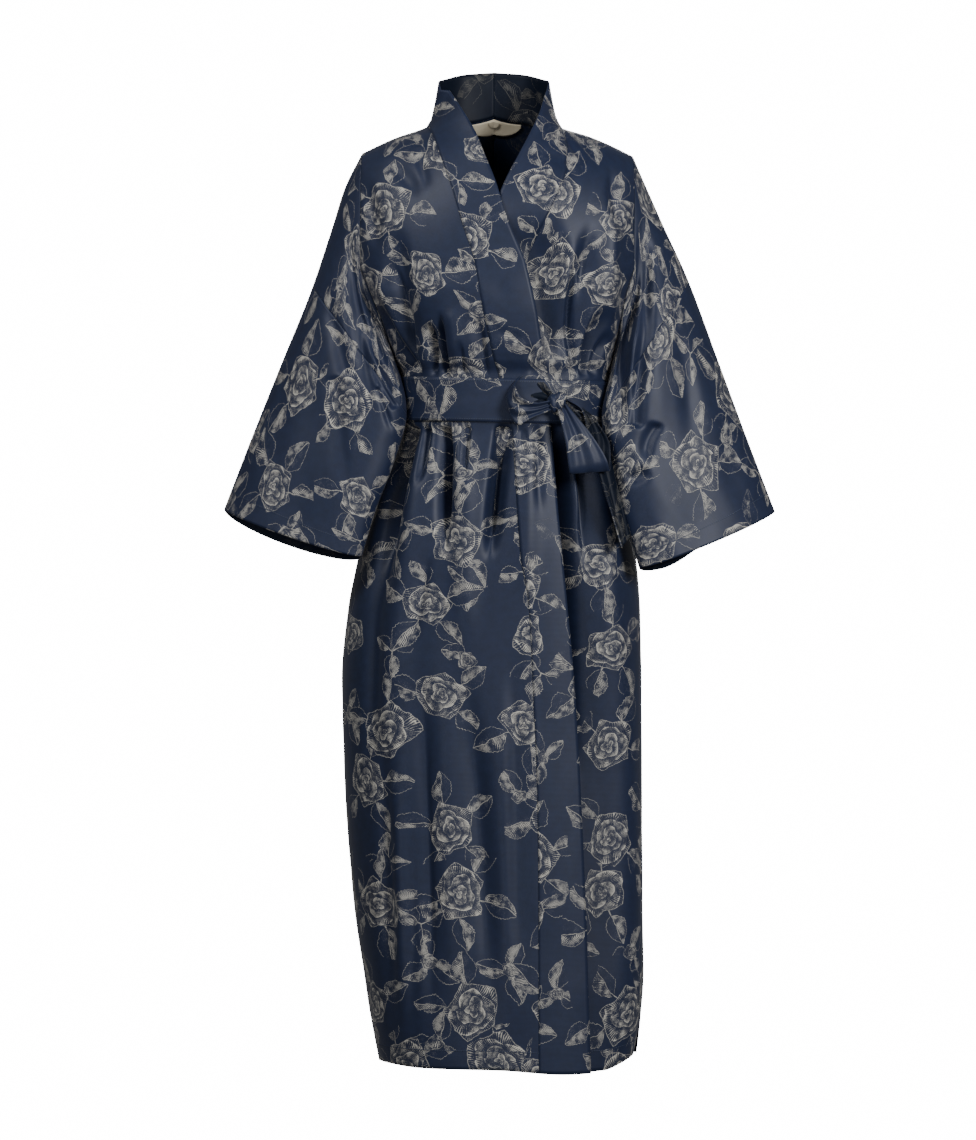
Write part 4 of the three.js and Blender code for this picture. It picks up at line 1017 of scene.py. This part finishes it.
def strip_grid(table, steps, columns=16, curl=0.0, swell=0.0):
    """A strip of the belt's cloth, from a table of its middle line and half widths.
    The swell rounds the loop's outer fold."""
    share = np.linspace(0, 1, steps + 1)[:, None]
    part = np.linspace(-1, 1, columns + 1)[None, :]
    middle = np.stack([size_at(table, share, axis) for axis in "xyz"], axis=-1)
    wide = np.stack([size_at(table, share, "wide" + axis) for axis in "XYZ"], axis=-1)
    points = middle + wide * part[..., None]
    points[..., 0] += swell * part**2 * np.sin(share * math.pi) ** 4
    points[..., 1] += curl * (part**2 - 0.4) + 1.5 * np.sin(part * 7 + share * 6)
    return points


def make_knot():
    around = np.linspace(0, FULL_TURN, 65)[:, None]
    part = np.linspace(-1, 1, 33)[None, :]
    tuck = 1 - 0.5 * np.abs(part) ** 3
    crease = 1 + 0.07 * np.sin(part * 8.5 + 0.6 * np.sin(around))
    half_depth = KNOT["half_depth"] * tuck * crease
    half_height = KNOT["half_height"] * tuck * crease
    x = KNOT["x"] + KNOT["half_width"] * part * (1 + 0.18 * np.sin(around))
    y = KNOT["y"] - half_depth * signed_power(np.cos(around), 0.8)
    z = KNOT["z"] + half_height * signed_power(np.sin(around), 0.8) + 3 * part
    points = np.stack([x + 0 * around, y + 0 * part, z + 0 * part], axis=-1)
    points[-1] = points[0]
    piece = cloth_sheet("belt_knot_cloth", points, BELT_CLOTH, (9.02, 0.4), ring=True)
    declare(piece, "belt_knot", points)


def make_bow():
    for node, table, shift, steps, curl, swell in (
        ("bow_loop_right", LOOP_RIGHT, (9.43, 0.14), 90, -2.0, 11.0),
        ("bow_loop_left", LOOP_LEFT, (9.9, 0.3), 110, -2.5, 0.0),
        ("belt_tail", TAIL, (10.6, 0.6), 90, 1.0, 0.0),
    ):
        points = strip_grid(table, steps, curl=curl, swell=swell)
        # The strips' inner faces get the satin darkened with painted shade
        piece = cloth_sheet(f"{node}_cloth", points, BELT_CLOTH, shift, finish=(SATIN, SHADED))
        declare(piece, node, points)


def neck_patch(half_width, high_turn, low_turn, inset, columns=48, rows=10):
    part = np.linspace(-1, 1, columns + 1)[None, :]
    rise = np.linspace(0, 1, rows + 1)[:, None]
    x = NECK_MIDDLE + half_width * part
    bow = np.sqrt(np.maximum(0.06, 1 - part * part))
    turn = back_turn(x) - high_turn - (low_turn - high_turn) * bow * (1 - rise)
    x = x + 0 * rise
    angle = FULL_TURN - angle_at_x(x, np.full_like(x, CHEST))
    return body_point(angle, CHEST * (1 - turn / 90), inset)


def make_label():
    for node, half_width, high, low, inset in (
        ("neck_label", LABEL_HALF_WIDTH, 1, LABEL_DEPTH_TURN, LABEL_INSET),
        ("hang_loop", HANG_LOOP_HALF_WIDTH, 1.2, 5, LABEL_INSET + 2),
    ):
        points = neck_patch(half_width, high, low, inset)
        piece = cloth_sheet(f"{node}_tape", points, LABEL_CLOTH, (0, 0), finish=(TAPE,))
        declare(piece, node, points)


def add_light(name, place, target, size, power):
    lamp = bpy.data.lights.new(name, "AREA")
    lamp.size = size
    lamp.energy = power
    holder = bpy.data.objects.new(name, lamp)
    holder.location = place
    holder.rotation_euler = (Vector(target) - Vector(place)).to_track_quat("-Z", "Y").to_euler()
    bpy.context.collection.objects.link(holder)


def make_lights():
    """Soft studio lights, stronger from the right and above, in front of a white paper ground."""
    world = bpy.data.worlds.new("studio")
    bpy.context.scene.world = world
    world.use_nodes = True
    tree = world.node_tree
    background = tree.nodes["Background"]
    background.inputs["Color"].default_value = colour(0xffffff)
    seen = add_node(tree, "ShaderNodeLightPath").outputs["Is Camera Ray"]
    sums = Sums(tree)
    strength = sums.do("ADD", sums.do("MULTIPLY", seen, PAPER_GLOW - ROOM_GLOW), ROOM_GLOW)
    tree.links.new(strength, background.inputs["Strength"])
    for row in LIGHTS:
        add_light(*row)


def make_camera():
    """The photograph's view: level, square on, from far enough that it looks almost flat."""
    lens = bpy.data.cameras.new("camera")
    lens.sensor_fit = "VERTICAL"
    lens.sensor_height = 24
    lens.lens = lens.sensor_height * CAMERA_DISTANCE / (PIXEL * PHOTO_HEIGHT)
    lens.clip_end = 100
    camera = bpy.data.objects.new("camera", lens)
    camera.location = (FRAME_MIDDLE[0] * MM, -CAMERA_DISTANCE * MM, FRAME_MIDDLE[1] * MM)
    camera.rotation_euler = (QUARTER, 0, 0)
    bpy.context.collection.objects.link(camera)
    bpy.context.scene.camera = camera


make_camera()
make_lights()
make_body()
make_bands()
make_sleeves()
make_belt()
make_knot()
make_bow()
make_label()
